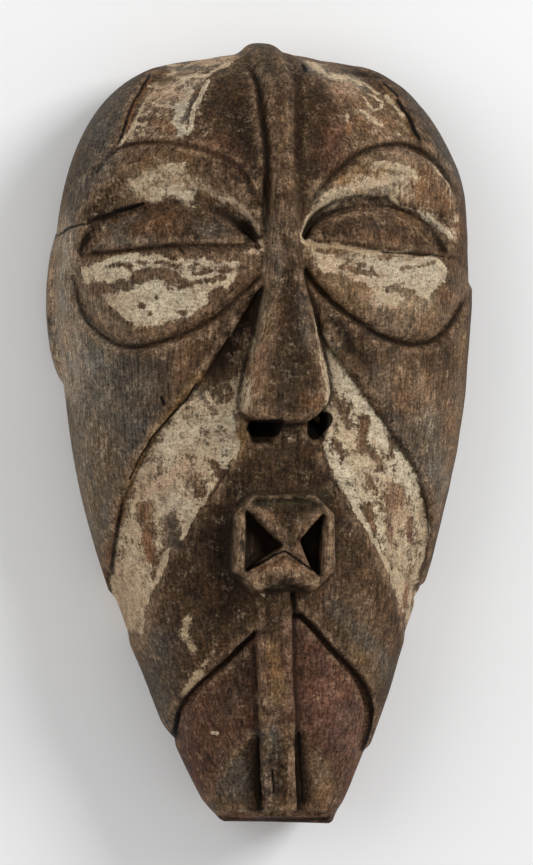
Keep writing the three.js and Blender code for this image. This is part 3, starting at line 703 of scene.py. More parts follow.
    ("brown", 4, 0.7, [(326, 508), (306, 517), (294, 530)]),
    ("tan", 5, 0.3, [(256, 574), (282, 562), (312, 576)]),
    ("rust", 4, 0.5, [(300, 588), (318, 588)]),
    ("olive", 6, 0.8, [(244, 525), (246, 560)]),
    ("olive", 8, 1.0, [(248, 499), (285, 500), (320, 499)]),
    # pigment and painted shade in the dip between the web's arms
    ("soot_and_shade", 5, 0.7, [(278, 508), (286, 514), (294, 508)]),
    ("tan", 3.5, 0.6, [(254, 508), (270, 515), (280, 524)]),
    ("tan", 3.5, 0.6, [(322, 510), (306, 516), (298, 525)]),
    ("rust", 4, 0.35, [(252, 572), (272, 563), (290, 562), (308, 572)]),
    # painted shade in the notch under the box
    ("soot_and_shade", 6, 1.0, [(264, 589), (284, 583), (305, 589)]),
    # bar, chin and its leaves
    ("brown", 10, 0.65, [(272, 600), (276, 660), (280, 720)]),
    ("soot_and_shade", 10, 0.9, [(270, 598), (273, 632)]),
    ("soot_and_shade", 10, 0.95, [(279, 745), (281, 800)]),
    ("ochre", 5, 0.5, [(268, 645), (278, 670), (276, 700)]),
    ("slate", 6, 0.6, [(270, 730), (278, 750)]),
    # rubbed wear and a painted highlight on the bar's left edge
    ("tan", 2, 0.7, [(260, 660), (261, 700), (262, 725)]),
    # painted shade on the chin left of the bar
    ("soot_and_shade", 16, 0.75, [(240, 655), (245, 690)]),
    ("umber", 18, 0.5, [(225, 700), (235, 735)]),
    ("umber", 14, 0.6, [(215, 745), (228, 760)]),
    ("rose", 17, 0.55, [(330, 690), (345, 720), (352, 745)]),
    ("red", 12, 0.3, [(315, 660), (320, 735)]),
    ("rose", 12, 0.25, [(230, 720), (225, 750)]),
    ("slate", 10, 0.7, [(235, 770), (240, 790)]),
    ("tan", 8, 0.5, [(320, 770), (328, 795)]),
    ("brown", 8, 0.7, [(215, 795), (222, 805), (280, 808), (325, 806)]),
    ("tan", 1.8, 0.6, [(257, 730), (238, 752), (221, 778)]),
    ("tan", 4, 0.45, [(318, 790), (330, 786)]),
    ("tan", 1.8, 0.6, [(304, 742), (315, 754), (331, 772), (337, 796)]),
    # painted shade in the grooves on both sides of the bar
    ("soot_and_shade", 8, 0.95, [(254, 745), (257, 802)]),
    ("black", 6, 0.8, [(301, 738), (304, 775), (306, 802)]),
]

# Pale paint as outlines and strokes: half-width and cover, then points in pixels
PALE_OUTLINES = [
    [(82, 268), (95, 262), (112, 257), (135, 254), (165, 256), (190, 259), (215, 261), (239, 260), (240, 270),
     (234, 283), (224, 294), (206, 305), (192, 313), (176, 321), (156, 327), (140, 329), (126, 322),
     (112, 311),
     (98, 296), (86, 279)],
    [(306, 246), (318, 252), (345, 256), (380, 259), (410, 258), (432, 255), (448, 268), (446, 282),
     (434, 292),
     (428, 299), (412, 293), (400, 300), (392, 312), (378, 306), (374, 290), (362, 281), (342, 274),
     (324, 269)],
]
PALE_AREAS = [
    ("panel left", 0.36), ("panel right", 0.14), ("bowl left", 0.1), ("bowl right", 0.3),
    ("band left", 0.66), ("band right", 0.62),
]
AREA_WASHES = [("bowl left", 0.9), ("bowl right", 0.8), ("low left", 0.25), ("low right", 0.35),
               ("panel left", 0.25), ("panel right", 0.4), ("band left", 0.4), ("band right", 0.2)]
WASH_STROKES = [
    (12, 0.9, [(320, 285), (370, 300), (440, 305)]),
    (7, 0.8, [(90, 270), (130, 262), (180, 266), (236, 268)]),
    (6, 0.9, [(150, 284), (190, 286), (220, 280)]),
    (8, 0.8, [(310, 250), (350, 258), (400, 262)]),
    (14, 0.9, [(135, 560), (135, 625)]),
    (14, 0.8, [(395, 495), (400, 530), (404, 600)]),
    (10, 0.9, [(320, 66), (350, 88)]),
]
PALE_STROKES = [
    (6, 0.62, [(178, 66), (205, 62), (228, 56)]),
    (2, 1.15, [(230, 59), (214, 72), (192, 78), (178, 83), (165, 86), (150, 86)]),
    (1.6, 1.0, [(178, 72), (164, 78), (154, 84)]),
    (5, 0.5, [(150, 98), (165, 94)]),
    (7, 1.05, [(186, 92), (179, 108), (177, 122)]),
    (4, 1.1, [(176, 122), (180, 134)]),
    (1.9, 1.25, [(210, 80), (203, 92), (192, 118), (187, 134)]),
    (1.5, 1.2, [(144, 104), (136, 118), (127, 136), (122, 146)]),
    (1.4, 1.1, [(150, 112), (144, 116), (137, 118)]),
    (1.4, 1.0, [(147, 122), (142, 125), (136, 124)]),
    (1.3, 1.0, [(143, 134), (139, 136)]),
    (1.4, 0.9, [(158, 106), (165, 104), (172, 108)]),
    (6, 0.85, [(307, 62), (320, 70)]),
    (5, 0.75, [(325, 74), (345, 78), (360, 80)]),
    (1.5, 1.15, [(364, 96), (369, 104), (374, 109), (381, 107), (382, 100)]),
    (1.4, 1.0, [(368, 91), (376, 95), (381, 100)]),
    (2.2, 0.95, [(366, 81), (380, 92)]),
    (2.4, 0.95, [(386, 97), (395, 106), (403, 116)]),
    (5, 0.6, [(358, 110), (368, 114), (378, 121)]),
    (2, 0.95, [(348, 113), (349, 121)]),
    (10, 1.0, [(138, 530), (134, 560), (138, 600)]),
    (8, 0.95, [(398, 560), (402, 590)]),
    (7, 0.9, [(352, 430), (350, 446)]),
    (5, 0.9, [(150, 98), (170, 90)]),
    (4, 0.9, [(156, 118), (164, 126)]),
    (8, 0.8, [(150, 470), (170, 476), (190, 470)]),
    (8, 0.75, [(138, 184), (165, 168), (182, 172)]),
    (8, 0.95, [(150, 196), (168, 188), (188, 196)]),
    (5, 0.6, [(188, 178), (210, 190), (228, 200)]),
    (3, 0.9, [(232, 200), (248, 214), (258, 232), (263, 250)]),
    (3.5, 0.95, [(246, 252), (258, 254)]),
    (6, 1.0, [(318, 208), (334, 192), (352, 186), (378, 182), (402, 176)]),
    (4, 0.8, [(312, 218), (326, 206), (350, 196)]),
    (5, 1.0, [(378, 165), (400, 166), (416, 174)]),
    (3, 1.0, [(302, 238), (306, 222), (316, 208)]),
    (2, 1.0, [(426, 178), (436, 190)]),
    (1.6, 1.0, [(436, 166), (446, 178), (453, 192)]),
    (2.6, 1.3, [(419, 209), (424, 216), (429, 217)]),
    (2.6, 1.25, [(430, 214), (436, 221), (441, 222)]),
    (3, 1.3, [(441, 226), (447, 231), (451, 237)]),
    (1.4, 1.1, [(390, 198), (400, 204), (412, 207)]),
    (3.4, 1.0, [(304, 243), (330, 247), (370, 252), (405, 253)]),
    (3, 1.2, [(207, 392), (213, 405), (224, 408), (235, 405), (239, 394), (232, 384), (221, 384),
              (210, 386)]),
    (12, 0.68, [(180, 428), (196, 412), (200, 400)]),
    (10, 0.95, [(172, 438), (176, 448), (206, 450)]),
    (3, 1.2, [(219, 413), (229, 423), (237, 437), (233, 456), (225, 468)]),
    (6, 0.85, [(214, 430), (216, 446)]),
    (7, 1.2, [(170, 436), (167, 452)]),
    (10, 0.75, [(162, 480), (186, 470), (200, 462)]),
    (10, 1.0, [(168, 492), (176, 504), (166, 512)]),
    (7, 0.75, [(140, 488), (136, 506)]),
    (5, 1.1, [(132, 522), (130, 540), (130, 560)]),
    (1.5, 1.3, [(208, 465), (202, 490), (191, 514), (183, 532), (169, 551), (162, 570), (152, 594)]),
    (2, 1.2, [(222, 462), (228, 470)]),
    (1.9, 1.25, [(220, 480), (207, 496), (197, 512), (186, 530), (173, 543), (164, 557), (158, 575),
                 (150, 592),
                 (146, 606)]),
    (5, 0.75, [(160, 545), (148, 580)]),
    (4, 0.9, [(120, 575), (126, 600), (135, 626)]),
    (1.8, 1.2, [(146, 600), (143, 634)]),
    (1.8, 1.1, [(256, 326), (250, 350), (243, 372), (240, 392)]),
    (4.5, 1.2, [(323, 338), (330, 358), (342, 384)]),
    (7, 1.15, [(348, 384), (358, 398), (368, 412)]),
    (8, 1.2, [(374, 424), (386, 442), (396, 458)]),
    (6, 0.85, [(336, 412), (346, 440)]),
    (7, 1.1, [(338, 456), (356, 462), (374, 466)]),
    (3, 1.3, [(324, 446), (334, 466), (346, 486), (358, 510), (372, 536), (384, 556), (396, 586)]),
    (5, 1.1, [(398, 466), (410, 482), (416, 500)]),
    (5, 1.0, [(356, 486), (368, 500)]),
    (6, 0.85, [(384, 530), (394, 556)]),
    (5, 1.05, [(402, 538), (404, 556)]),
    (6, 1.0, [(402, 570), (402, 571)]),
    (2.6, 1.3, [(421, 500), (427, 530), (423, 560)]),
    (4, 0.9, [(400, 595), (404, 612)]),
    (5, 0.85, [(188, 620), (184, 638), (192, 648)]),
    (5, 0.72, [(206, 662), (197, 676), (188, 690)]),
    (2.2, 1.2, [(213, 734), (217, 735)]),
    (2, 1.0, [(262, 594), (264, 596)]),
]

# Places where the pale paint has come off: half-width and share lost, then points in pixels
LOST_STROKES = [
    (21, 1.1, [(238, 325), (222, 345), (212, 365)]),
    (9, 0.8, [(204, 372), (245, 366)]),
    (9, 0.7, [(246, 425), (250, 455)]),
    (10, 0.7, [(426, 188), (446, 206)]),
    (7, 0.6, [(436, 296), (446, 286)]),
    (6, 0.8, [(130, 480), (118, 520)]),
    (2.6, 1.0, [(196, 94), (189, 108), (181, 122)]),
    (3, 0.9, [(161, 110), (168, 111)]),
    (6, 0.7, [(155, 124), (170, 128)]),
    (3.4, 0.9, [(161, 80), (172, 78)]),
    (8, 0.9, [(340, 92), (352, 98)]),
    (7, 1.0, [(137, 276), (156, 274), (174, 277)]),
    (7, 0.85, [(96, 286), (112, 288), (126, 286)]),
    (4.5, 1.0, [(140, 305), (142, 306)]),
    (2, 1.0, [(158, 297), (158, 298)]),
    (5.5, 0.62, [(168, 288), (182, 285)]),
    (3.2, 1.0, [(208, 283), (224, 278)]),
    (3.5, 1.0, [(211, 297), (221, 291)]),
    (3, 0.7, [(184, 283), (200, 284)]),
    (4, 0.55, [(108, 266), (128, 267)]),
    (6, 0.5, [(190, 268), (226, 269)]),
    (5, 0.75, [(98, 302), (112, 314)]),
    (2, 0.9, [(176, 314), (186, 311)]),
    (1.6, 1.0, [(150, 314), (150, 315)]),
    (1.8, 1.0, [(164, 198), (165, 198)]),
    (2, 1.0, [(213, 204), (214, 205)]),
    (1.8, 1.0, [(374, 268), (380, 276)]),
    (5, 0.6, [(386, 290), (414, 290)]),
    (3, 0.7, [(340, 266), (372, 272)]),
    (3, 0.6, [(400, 268), (436, 264)]),
    (2.5, 0.7, [(350, 262), (366, 264)]),
    (3, 0.6, [(136, 262), (180, 264)]),
    (2.5, 0.6, [(196, 276), (232, 268)]),
    (3, 0.5, [(395, 285), (405, 283)]),
    (4.6, 1.0, [(218, 395), (220, 397)]),
    (2.4, 0.9, [(232, 391), (230, 400)]),
    (5, 0.8, [(208, 404), (214, 412)]),
    (3.2, 1.0, [(160, 468), (160, 469)]),
    (8, 0.8, [(190, 480), (202, 490)]),
    (5, 0.7, [(214, 466), (222, 476)]),
    (7, 0.95, [(173, 524), (172, 542)]),
    (7, 0.7, [(148, 514), (152, 560)]),
    (4, 0.8, [(334, 396), (342, 412)]),
    (5, 0.8, [(346, 404), (349, 426)]),
    (4, 0.95, [(365, 418), (364, 432), (362, 446)]),
    (3.4, 0.9, [(366, 444), (376, 458), (381, 470)]),
    (3, 0.8, [(334, 440), (342, 456)]),
    (3, 0.8, [(392, 440), (393, 456)]),
    (3, 0.9, [(370, 478), (376, 490)]),
    (8, 0.9, [(394, 492), (396, 506)]),
    (5, 0.7, [(390, 520), (392, 536)]),
    (4, 0.7, [(410, 520), (411, 540)]),
    (4, 0.8, [(366, 506), (374, 528)]),
    (3.4, 1.0, [(401, 567), (401, 569)]),
    (4, 0.8, [(408, 590), (405, 606)]),
]

# Drips and rings of pale paint left inside the lost places
LATE_STROKES = [
    (1.5, 1.2, [(401, 563), (402, 567)]),
    (1.3, 0.9, [(352, 408), (350, 420)]),
]

# Tint of the pale layer: pigment, half-width and share, then points in pixels
COVER_STROKES = [
    ("chalk", 12, 0.8, [(184, 92), (178, 130)]),
    ("white", 5, 0.9, [(212, 77), (186, 134)]),
    ("blush", 14, 0.5, [(150, 95), (170, 90)]),
    ("blush", 8, 0.6, [(200, 64), (225, 58)]),
    ("white", 12, 0.6, [(165, 188), (185, 192)]),
    ("blush", 5, 0.5, [(235, 202), (262, 246)]),
    ("blush", 5, 0.7, [(248, 252), (258, 256)]),
    ("white", 22, 0.85, [(120, 262), (180, 300), (150, 312)]),
    ("chalk", 10, 0.5, [(190, 268), (225, 270)]),
    ("white", 16, 0.3, [(330, 262), (390, 270), (430, 275)]),
    ("chalk", 20, 0.5, [(380, 270), (430, 272)]),
    ("blush", 10, 0.5, [(330, 266), (370, 292)]),
    ("ochre", 4, 0.5, [(304, 246), (360, 250), (405, 253)]),
    ("white", 6, 0.9, [(420, 212), (450, 234)]),
    ("chalk", 16, 0.5, [(170, 500), (182, 508)]),
    ("white", 10, 0.7, [(170, 442), (168, 462)]),
    ("white", 6, 0.8, [(232, 420), (227, 460)]),
    ("blush", 12, 0.6, [(190, 468), (140, 495)]),
    ("chalk", 16, 0.35, [(190, 430), (215, 428)]),
    ("blush", 10, 0.5, [(125, 575), (135, 625)]),
    ("white", 16, 0.9, [(345, 380), (395, 450), (415, 490)]),
    ("white", 10, 0.8, [(330, 450), (380, 540)]),
    ("blush", 10, 0.6, [(395, 495), (400, 520)]),
    ("blush", 6, 0.6, [(408, 585), (402, 612)]),
    ("ochre", 6, 0.3, [(186, 625), (192, 648)]),
    ("ochre", 6, 0.4, [(206, 662), (188, 690)]),
]

# Places inside the dark pits with less soot and painted shade, where their floor is lit: half-width and
# share, then points in pixels
LESS_SHADE_STROKES = [
    (6, 0.6, [(243, 525), (244, 560)]),
]

# Cracks, soot lines, black specks, and painted shade in the nostrils, the notch and the grooves by the jaw
# and bar: half-width and strength, then points in pixels
DARK_STROKES = [
    (1.2, 0.8, [(128, 164), (139, 161), (140, 158)]),
    (1.0, 0.7, [(140, 162), (152, 160)]),
    # painted shade: the nostrils' deep holes filled with black
    (6, 4.0, [(253, 428), (271, 428)]),
    (5.5, 4.0, [(313, 432), (323, 420)]),
    (1.2, 1.3, [(246, 571), (262, 563), (275, 555), (284, 552), (292, 555), (302, 562), (312, 570)]),
    # painted shade in the notch under the box
    (5.5, 0.62, [(266, 589), (284, 584), (303, 589)]),
    # painted shadow in the jaw grooves and in the grooves beside the bar
    (2, 1.2, [(179, 712), (176, 726), (176, 742)]),
    (1.6, 1.0, [(372, 708), (371, 730), (365, 748)]),
    (1.5, 1.0, [(259, 738), (260, 770), (261, 800)]),
    (1.5, 1.0, [(299, 732), (301, 768), (303, 802)]),
    (2.0, 1.3, [(117, 212), (130, 208), (144, 204)]),
    (1.6, 0.8, [(84, 226), (100, 218), (118, 212)]),
    (1.3, 1.0, [(60, 236), (72, 228), (84, 224)]),
    (2, 0.8, [(180, 250), (184, 254)]),
    (1.6, 0.8, [(382, 252), (446, 256)]),
    (1.4, 1.0, [(196, 384), (186, 400), (176, 410), (165, 422), (152, 438), (140, 458), (130, 478)]),
    (3.5, 0.7, [(122, 505), (116, 545), (114, 575)]),
    (1.2, 0.8, [(417, 478), (427, 506), (429, 535)]),
    (3, 0.9, [(398, 100), (410, 118), (420, 138)]),
    (2.5, 0.8, [(384, 82), (398, 96)]),
    (2.4, 0.8, [(150, 76), (134, 102), (126, 122), (120, 144)]),
    (1.6, 0.7, [(380, 160), (386, 158)]),
    (1.2, 1.0, [(272, 770), (274, 792)]),
    (1.6, 0.9, [(281, 766), (287, 770)]),
    (2.6, 0.9, [(162, 398), (164, 404)]),
    (2, 0.7, [(144, 430), (146, 434)]),
    (1.2, 0.6, [(239, 158), (240, 180)]),
    # painted shade in the hollow at the top of the left band
    (8, 0.5, [(218, 350), (224, 376)]),
    (6, 0.6, [(345, 70), (380, 76)]),
    (3, 1.0, [(302, 66), (304, 70)]),
]


# Small tools for curves, distances and noise

def smooth_step(value):
    value = np.clip(value, 0.0, 1.0)
    return value * value * (3.0 - 2.0 * value)


def mix(low, high, amount):
    return low + (high - low) * amount


def spline(points, steps=28):
    """Points of a smooth curve through the given ones."""
    points = np.array(points, float)
    last = len(points) - 1
    place = np.linspace(0.0, last, steps + 1)
    start = np.minimum(place.astype(int), last - 1)
    part = (place - start)[:, None]
    before, here = points[np.maximum(start - 1, 0)], points[start]
    after, beyond = points[start + 1], points[np.minimum(start + 2, last)]
    tangent_in, tangent_out = (after - before) / 2, (beyond - here) / 2
    return ((2 * here - 2 * after + tangent_in + tangent_out) * part ** 3
            + (3 * after - 3 * here - 2 * tangent_in - tangent_out) * part ** 2
            + tangent_in * part + here)


def line_distance(x, y, points):
    """Distance from every (x, y) to a polyline."""
    nearest = np.full(x.shape, 1e6, np.float32)
    for (ax, ay), (bx, by) in zip(points[:-1], points[1:]):
        dx, dy = bx - ax, by - ay
        length = max(dx * dx + dy * dy, 1e-9)
        part = np.clip(((x - ax) * dx + (y - ay) * dy) / length, 0.0, 1.0)
        gap = (x - ax - part * dx) ** 2 + (y - ay - part * dy) ** 2
        np.minimum(nearest, gap, out=nearest)
    return np.sqrt(nearest)


def outline_distance(x, y, outline):
    """Distance to a closed outline, negative inside it."""
    closed = np.vstack([outline, outline[:1]])
    inside = np.zeros(x.shape, bool)
    for (ax, ay), (bx, by) in zip(closed[:-1], closed[1:]):
        if ay == by:
            continue
        crosses = (y < ay) != (y < by)
        inside ^= crosses & (x < ax + (y - ay) * (bx - ax) / (by - ay))
    distance = line_distance(x, y, closed)
    return np.where(inside, -distance, distance)


def within(distance, width):
    """1 well inside an outline and 0 outside, over an edge of the given width."""
    return smooth_step(0.5 - distance / width)


def shoulder(distance, width):
    """1 inside an outline, and falling outside it over a rounded edge of the given width."""
    part = np.clip(distance / width, 0.0, 1.0)
    return 1.0 - np.sqrt(1.0 - (1.0 - part) ** 2)


def notch(distance, half_width):
    """A V cut with rounded shoulders."""
    return np.clip(1.0 - distance / half_width, 0.0, 1.0) ** CUT_SHARPNESS


def groove(distance, half_width):
    """A soft round dip or swelling."""
    return np.exp(-(distance / half_width) ** 2)


def share_between(first, second):
    """0 at the first line and nearly 1 at the second."""
    return first / (first + second + 1e-3)


def blurred(field, reach):
    """The field averaged twice over a square of the given half-size in millimetres."""
    cells = max(1, round(reach / MAP_STEP))
    for axis in (0, 1, 0, 1):
        padded = np.concatenate([np.repeat(np.take(field, [0], axis), cells + 1, axis), field,
                                 np.repeat(np.take(field, [-1], axis), cells, axis)], axis)
        total = np.cumsum(padded, axis, dtype=np.float64)
        size = field.shape[axis]
        high = np.take(total, np.arange(2 * cells + 1, 2 * cells + 1 + size), axis)
        low = np.take(total, np.arange(size), axis)
        field = ((high - low) / (2 * cells + 1)).astype(np.float32)
    return field


def lattice_noise(x, y, z, seed):
    """Smooth noise from -1 to 1 with cells one unit wide."""
    table = np.random.default_rng(seed).uniform(-1.0, 1.0, (NOISE_CELLS,) * 3).astype(np.float32)
    cells = [np.floor(axis).astype(int) for axis in (x, y, z)]
    parts = [smooth_step(axis - cell) for axis, cell in zip((x, y, z), cells)]
    total = np.zeros(np.shape(x), np.float32)
    for corner in range(8):
        steps = [(corner >> axis) & 1 for axis in range(3)]
        weight = 1.0
        for step, part in zip(steps, parts):
            weight = weight * (part if step else 1.0 - part)
        total += weight * table[tuple((cell + step) % NOISE_CELLS for cell, step in zip(cells, steps))]
    return total


def layered_noise(x, y, z, size, seed, layers=3):
    total, strength = np.zeros(np.shape(x), np.float32), 1.0
    for layer in range(layers):
        total += strength * lattice_noise(x / size, y / size, z / size, seed + layer)
        size, strength = size / 2, strength / 2
    return total


# The egg-shaped body

def bump(y, size, centre, reach):
    return size * groove(y - centre, reach)


def side_shifts(y):
    """How far the left side is drawn in and the right side stands out from the plain egg."""
    left_in = bump(y, *LEFT_CHEEK) + bump(y, *LEFT_MUZZLE)
    corner_end = smooth_step((y - CORNER_Y + CORNER_REACH) / CORNER_FADE)
    corner = CORNER_OUT * smooth_step((CORNER_Y - y) / CORNER_SHARP) * corner_end
    return left_in, bump(y, *RIGHT_BROW) + bump(y, *RIGHT_CHEEK) + corner - bump(y, *RIGHT_MUZZLE)


def egg_section(y, inset_side=0.0, inset_front=0.0):
    """Lean, half-width, depth and height of the widest line at a given y."""
    y = np.asarray(y, float)
    lean = LEAN_AT_CHIN * np.maximum(0.0, (LEAN_START_Y - y) / (LEAN_START_Y - CHIN_CUT_Y))
    rise = np.clip((y - BROW_Y) / (DOME_TOP_Y - inset_front - BROW_Y), 0.0, DOME_END_SHARE)
    left = 1.0 - rise ** DOME_POWER
    fall = np.clip((BROW_Y - y) / (BROW_Y - CHIN_CUT_Y), 0.0, 1.0)
    low_half = CHIN_HALF_WIDTH + (HALF_WIDTH - CHIN_HALF_WIDTH) * np.cos(math.pi / 2 * fall) ** TAPER_POWER
    low_depth = CHIN_DEPTH + (BROW_DEPTH - CHIN_DEPTH) * (1.0 - fall ** FRONT_POWER)
    top_half = (HALF_WIDTH - inset_side) * left ** DOME_SIDE_POWER
    top_depth = (BROW_DEPTH - inset_front) * left ** DOME_FRONT_POWER
    half = np.where(y > BROW_Y, top_half, low_half - inset_side)
    depth = np.where(y > BROW_Y, top_depth, low_depth - inset_front)
    left_in, right_out = side_shifts(y)
    lean, half = lean + (left_in + right_out) / 2, half + (right_out - left_in) / 2
    return lean, half, depth, WIDEST_Z + CHIN_RISE * fall ** RISE_POWER


def face_height(x, y):
    lean, half, depth, widest = egg_section(y)
    across = np.minimum(np.abs((x - lean) / half), EDGE_SHARE)
    return widest + depth * (1.0 - across ** SECTION_POWER) ** (1 / SECTION_POWER)


# Maps of the carving, drawn from the front

class Maps:
    """Relief and paint fields on a grid over the face, read back at any (x, y)."""

    def __init__(self):
        xs = np.arange(-MAP_HALF[0], MAP_HALF[0] + MAP_STEP, MAP_STEP, dtype=np.float32)
        ys = np.arange(-MAP_HALF[1], MAP_HALF[1] + MAP_STEP, MAP_STEP, dtype=np.float32)
        self.x, self.y = np.meshgrid(xs, ys)
        self.fields = {}

    def read(self, name, x, y):
        field = self.fields[name]
        column = np.clip((x + MAP_HALF[0]) / MAP_STEP, 0, field.shape[1] - 1.001)
        row = np.clip((y + MAP_HALF[1]) / MAP_STEP, 0, field.shape[0] - 1.001)
        i, j = row.astype(int), column.astype(int)
        u, v = row - i, column - j
        low = field[i, j] * (1 - v) + field[i, j + 1] * v
        high = field[i + 1, j] * (1 - v) + field[i + 1, j + 1] * v
        return low * (1 - u) + high * u


def carve_panel(maps, carve, side):
    """A forehead panel between the temple line, the brow and the crest, set in along its edge."""
    x, y = maps.x, maps.y
    inner, outer = spline(side["panel_inner"]), spline(side["temple"])
    low = spline(side["brow"], 60)
    reach = np.abs(low[:, 0])
    low = low[(reach > abs(inner[-1, 0]) + PANEL_GAP) & (reach < abs(outer[-1, 0]) - PANEL_GAP)]
    panel = outline_distance(x, y, np.vstack([outer, low[::-1], inner[::-1]]))
    from_outer, from_inner = line_distance(x, y, outer), line_distance(x, y, inner)
    width = np.where(from_outer < from_inner, side["temple_width"], PANEL_INNER_EDGE)
    depth = mix(PANEL_STEP, PANEL_SHALLOW, smooth_step(from_outer / PANEL_FADE))
    carve -= depth * shoulder(panel, width)
    return panel


def cut_brow(maps, carve, side):
    cut, half_width = side["brow_cut"]
    brow = line_distance(maps.x, maps.y, spline(side["brow"], 40))
    from_middle = np.abs(maps.x)
    start = smooth_step((from_middle - BROW_CUT_START_X) / BROW_CUT_FADE[0])
    end = smooth_step((BROW_CUT_END_X - from_middle) / BROW_CUT_FADE[1])
    carve -= cut * mix(BROW_CUT_LEAST, 1.0, start * end) * notch(brow, half_width)


def carve_eye(maps, carve, side, bulge):
    """A bowl under the brow, a domed upper lid with a crisp lower edge, and a swelling lower lid."""
    x, y = maps.x, maps.y
    rim, lid, slit, pouch = (spline(side[name], 40) for name in ("rim", "lid", "slit", "pouch"))
    from_rim, from_lid = line_distance(x, y, rim), line_distance(x, y, lid)
    from_slit, from_pouch = line_distance(x, y, slit), line_distance(x, y, pouch)
    bowl_place = outline_distance(x, y, np.vstack([rim, lid[::-1]]))
    lid_place = outline_distance(x, y, np.vstack([lid, slit[::-1]]))
    low_place = outline_distance(x, y, np.vstack([slit, pouch[::-1]]))

    bowl = BOWL_DEPTH * (1.0 - (1.0 - share_between(from_rim, from_lid)) ** EYE_CURVE)
    lid_edge = mix(*LID_EDGE_DEPTHS, bulge)
    dome = lid_edge + (BOWL_DEPTH - lid_edge) * (1.0 - share_between(from_lid, from_slit)) ** EYE_CURVE
    drop = LOW_LID_DROP[0] * np.exp(-from_slit / LOW_LID_DROP[1])
    roll = LOW_LID_ROLL[0] * (1.0 - smooth_step(from_pouch / LOW_LID_ROLL[1]))

    depth = np.zeros_like(carve)
    bowl_end = smooth_step((side["bowl_end"] - np.abs(x)) / BOWL_FADE)
    depth = np.where(bowl_place < 0, bowl * bowl_end, depth)
    depth = np.where(low_place < 0, drop + roll - LOW_LID_RAISE, depth)
    depth = np.where(lid_place < 0, dome, depth)
    open_end = smooth_step((EYE_END_X - np.abs(x)) / EYE_FADE)
    carve -= depth * open_end
    cut, half_width = side["pouch_cut"]
    carve -= cut * open_end ** 0.5 * notch(from_pouch, half_width)
    carve -= side["lid_cut"] * notch(from_lid, LID_CUT_HALF_WIDTH) * (bowl_place < LID_CUT_MARGIN)
    cut, half_width = SLIT_CUT
    carve -= cut * notch(from_slit, half_width)
    return bowl_place, lid_place, low_place


def carve_coves(maps, carve):
    """The slot over the outer left lid, the hollow under the right brow roll and the right ledge."""
    x, y = maps.x, maps.y
    slot = line_distance(x, y, spline(SIDES["left"]["cove"], 30))
    slot_start = smooth_step((x - SLOT_DEEP_X[0]) / SLOT_DEEP_FADE[0])
    slot_end = smooth_step((SLOT_DEEP_X[1] - x) / SLOT_DEEP_FADE[1])
    deep = mix(*SLOT_DEPTHS, slot_start * slot_end)
    carve -= deep * notch(slot, SLOT_HALF_WIDTH) * smooth_step((x - SLOT_END_X) / SLOT_END_FADE)
    cove, lid = spline(SIDES["right"]["cove"], 30), spline(SIDES["right"]["lid"], 30)
    hollow = outline_distance(x, y, np.vstack([cove, lid[::-1]]))
    carve -= COVE_DEPTH * shoulder(hollow, COVE_EDGE) * smooth_step((COVE_END_X - x) / COVE_FADE)
    carve += LEDGE_HEIGHT * groove(line_distance(x, y, spline(LEDGE, 20)), LEDGE_HALF_WIDTH)


def carve_band(maps, carve, side):
    """The sunken band that runs from the nose out and down over the cheek."""
    x, y = maps.x, maps.y
    cheek, muzzle = spline(side["cheek"], 40), spline(side["muzzle"], 30)
    band = outline_distance(x, y, np.vstack([cheek, side["outside"], muzzle[::-1]]))
    from_cheek, from_muzzle = line_distance(x, y, cheek), line_distance(x, y, muzzle)
    width = np.where(from_cheek < from_muzzle, side["cheek_width"], BAND_INNER_EDGE)
    depth = mix(BAND_STEP, BAND_SHALLOW, share_between(from_cheek, from_muzzle))
    carve -= depth * shoulder(band, width)
    return band


def carve_chin(maps, carve):
    """The chin set in under the muzzle, with a deep cut along the muzzle's lower edge."""
    x, y = maps.x, maps.y
    left, right = (spline(SIDES[name]["jaw"], 36) for name in ("left", "right"))
    ends = SIDES["left"]["jaw_end"], SIDES["right"]["jaw_end"]
    chin = outline_distance(x, y, np.vstack([ends[:1], left[::-1], right, ends[1:], BELOW_CHIN]))
    deep = np.zeros_like(carve)
    for side, jaw in zip(SIDES.values(), (left, right)):
        cut, half_width = side["jaw_cut"]
        deep = np.maximum(deep, cut * notch(line_distance(x, y, jaw), half_width))
    carve[:] = mix(carve, -CHIN_STEP - deep, within(chin - CHIN_EDGE, CHIN_EDGE))
    return chin


def carve_leaf(maps, carve, side):
    """A scoop beside the bar that deepens towards it."""
    x, y = maps.x, maps.y
    edge = spline(side["leaf"], 20)
    spine = np.array([(bar_middle(edge[0, 1]), edge[0, 1]), (bar_middle(edge[-1, 1]), edge[-1, 1])])
    leaf = outline_distance(x, y, np.vstack([edge, spine[::-1]]))
    from_edge, from_spine = line_distance(x, y, edge), line_distance(x, y, spine)
    fade = smooth_step((edge[0, 1] - y + LEAF_EARLY) / LEAF_FADE)
    slope = mix(LEAF_SHALLOW, 1.0, share_between(from_edge, from_spine) ** LEAF_CURVE)
    carve -= LEAF_DEPTH * fade * slope * within(leaf, LEAF_EDGE)
    return leaf


def bar_middle(y):
    return BAR_TOP[0] + (BAR_BOTTOM[0] - BAR_TOP[0]) * (y - BAR_TOP[1]) / (BAR_BOTTOM[1] - BAR_TOP[1])


def bar_distance(x, y):
    part = np.clip((y - BAR_TOP[1]) / (BAR_BOTTOM[1] - BAR_TOP[1]), 0.0, 1.0)
    across = np.abs(x - bar_middle(y)) - mix(BAR_WIDTH_TOP, BAR_WIDTH_BOTTOM, part) / 2
    return np.maximum(across, BAR_BOTTOM[1] - y)


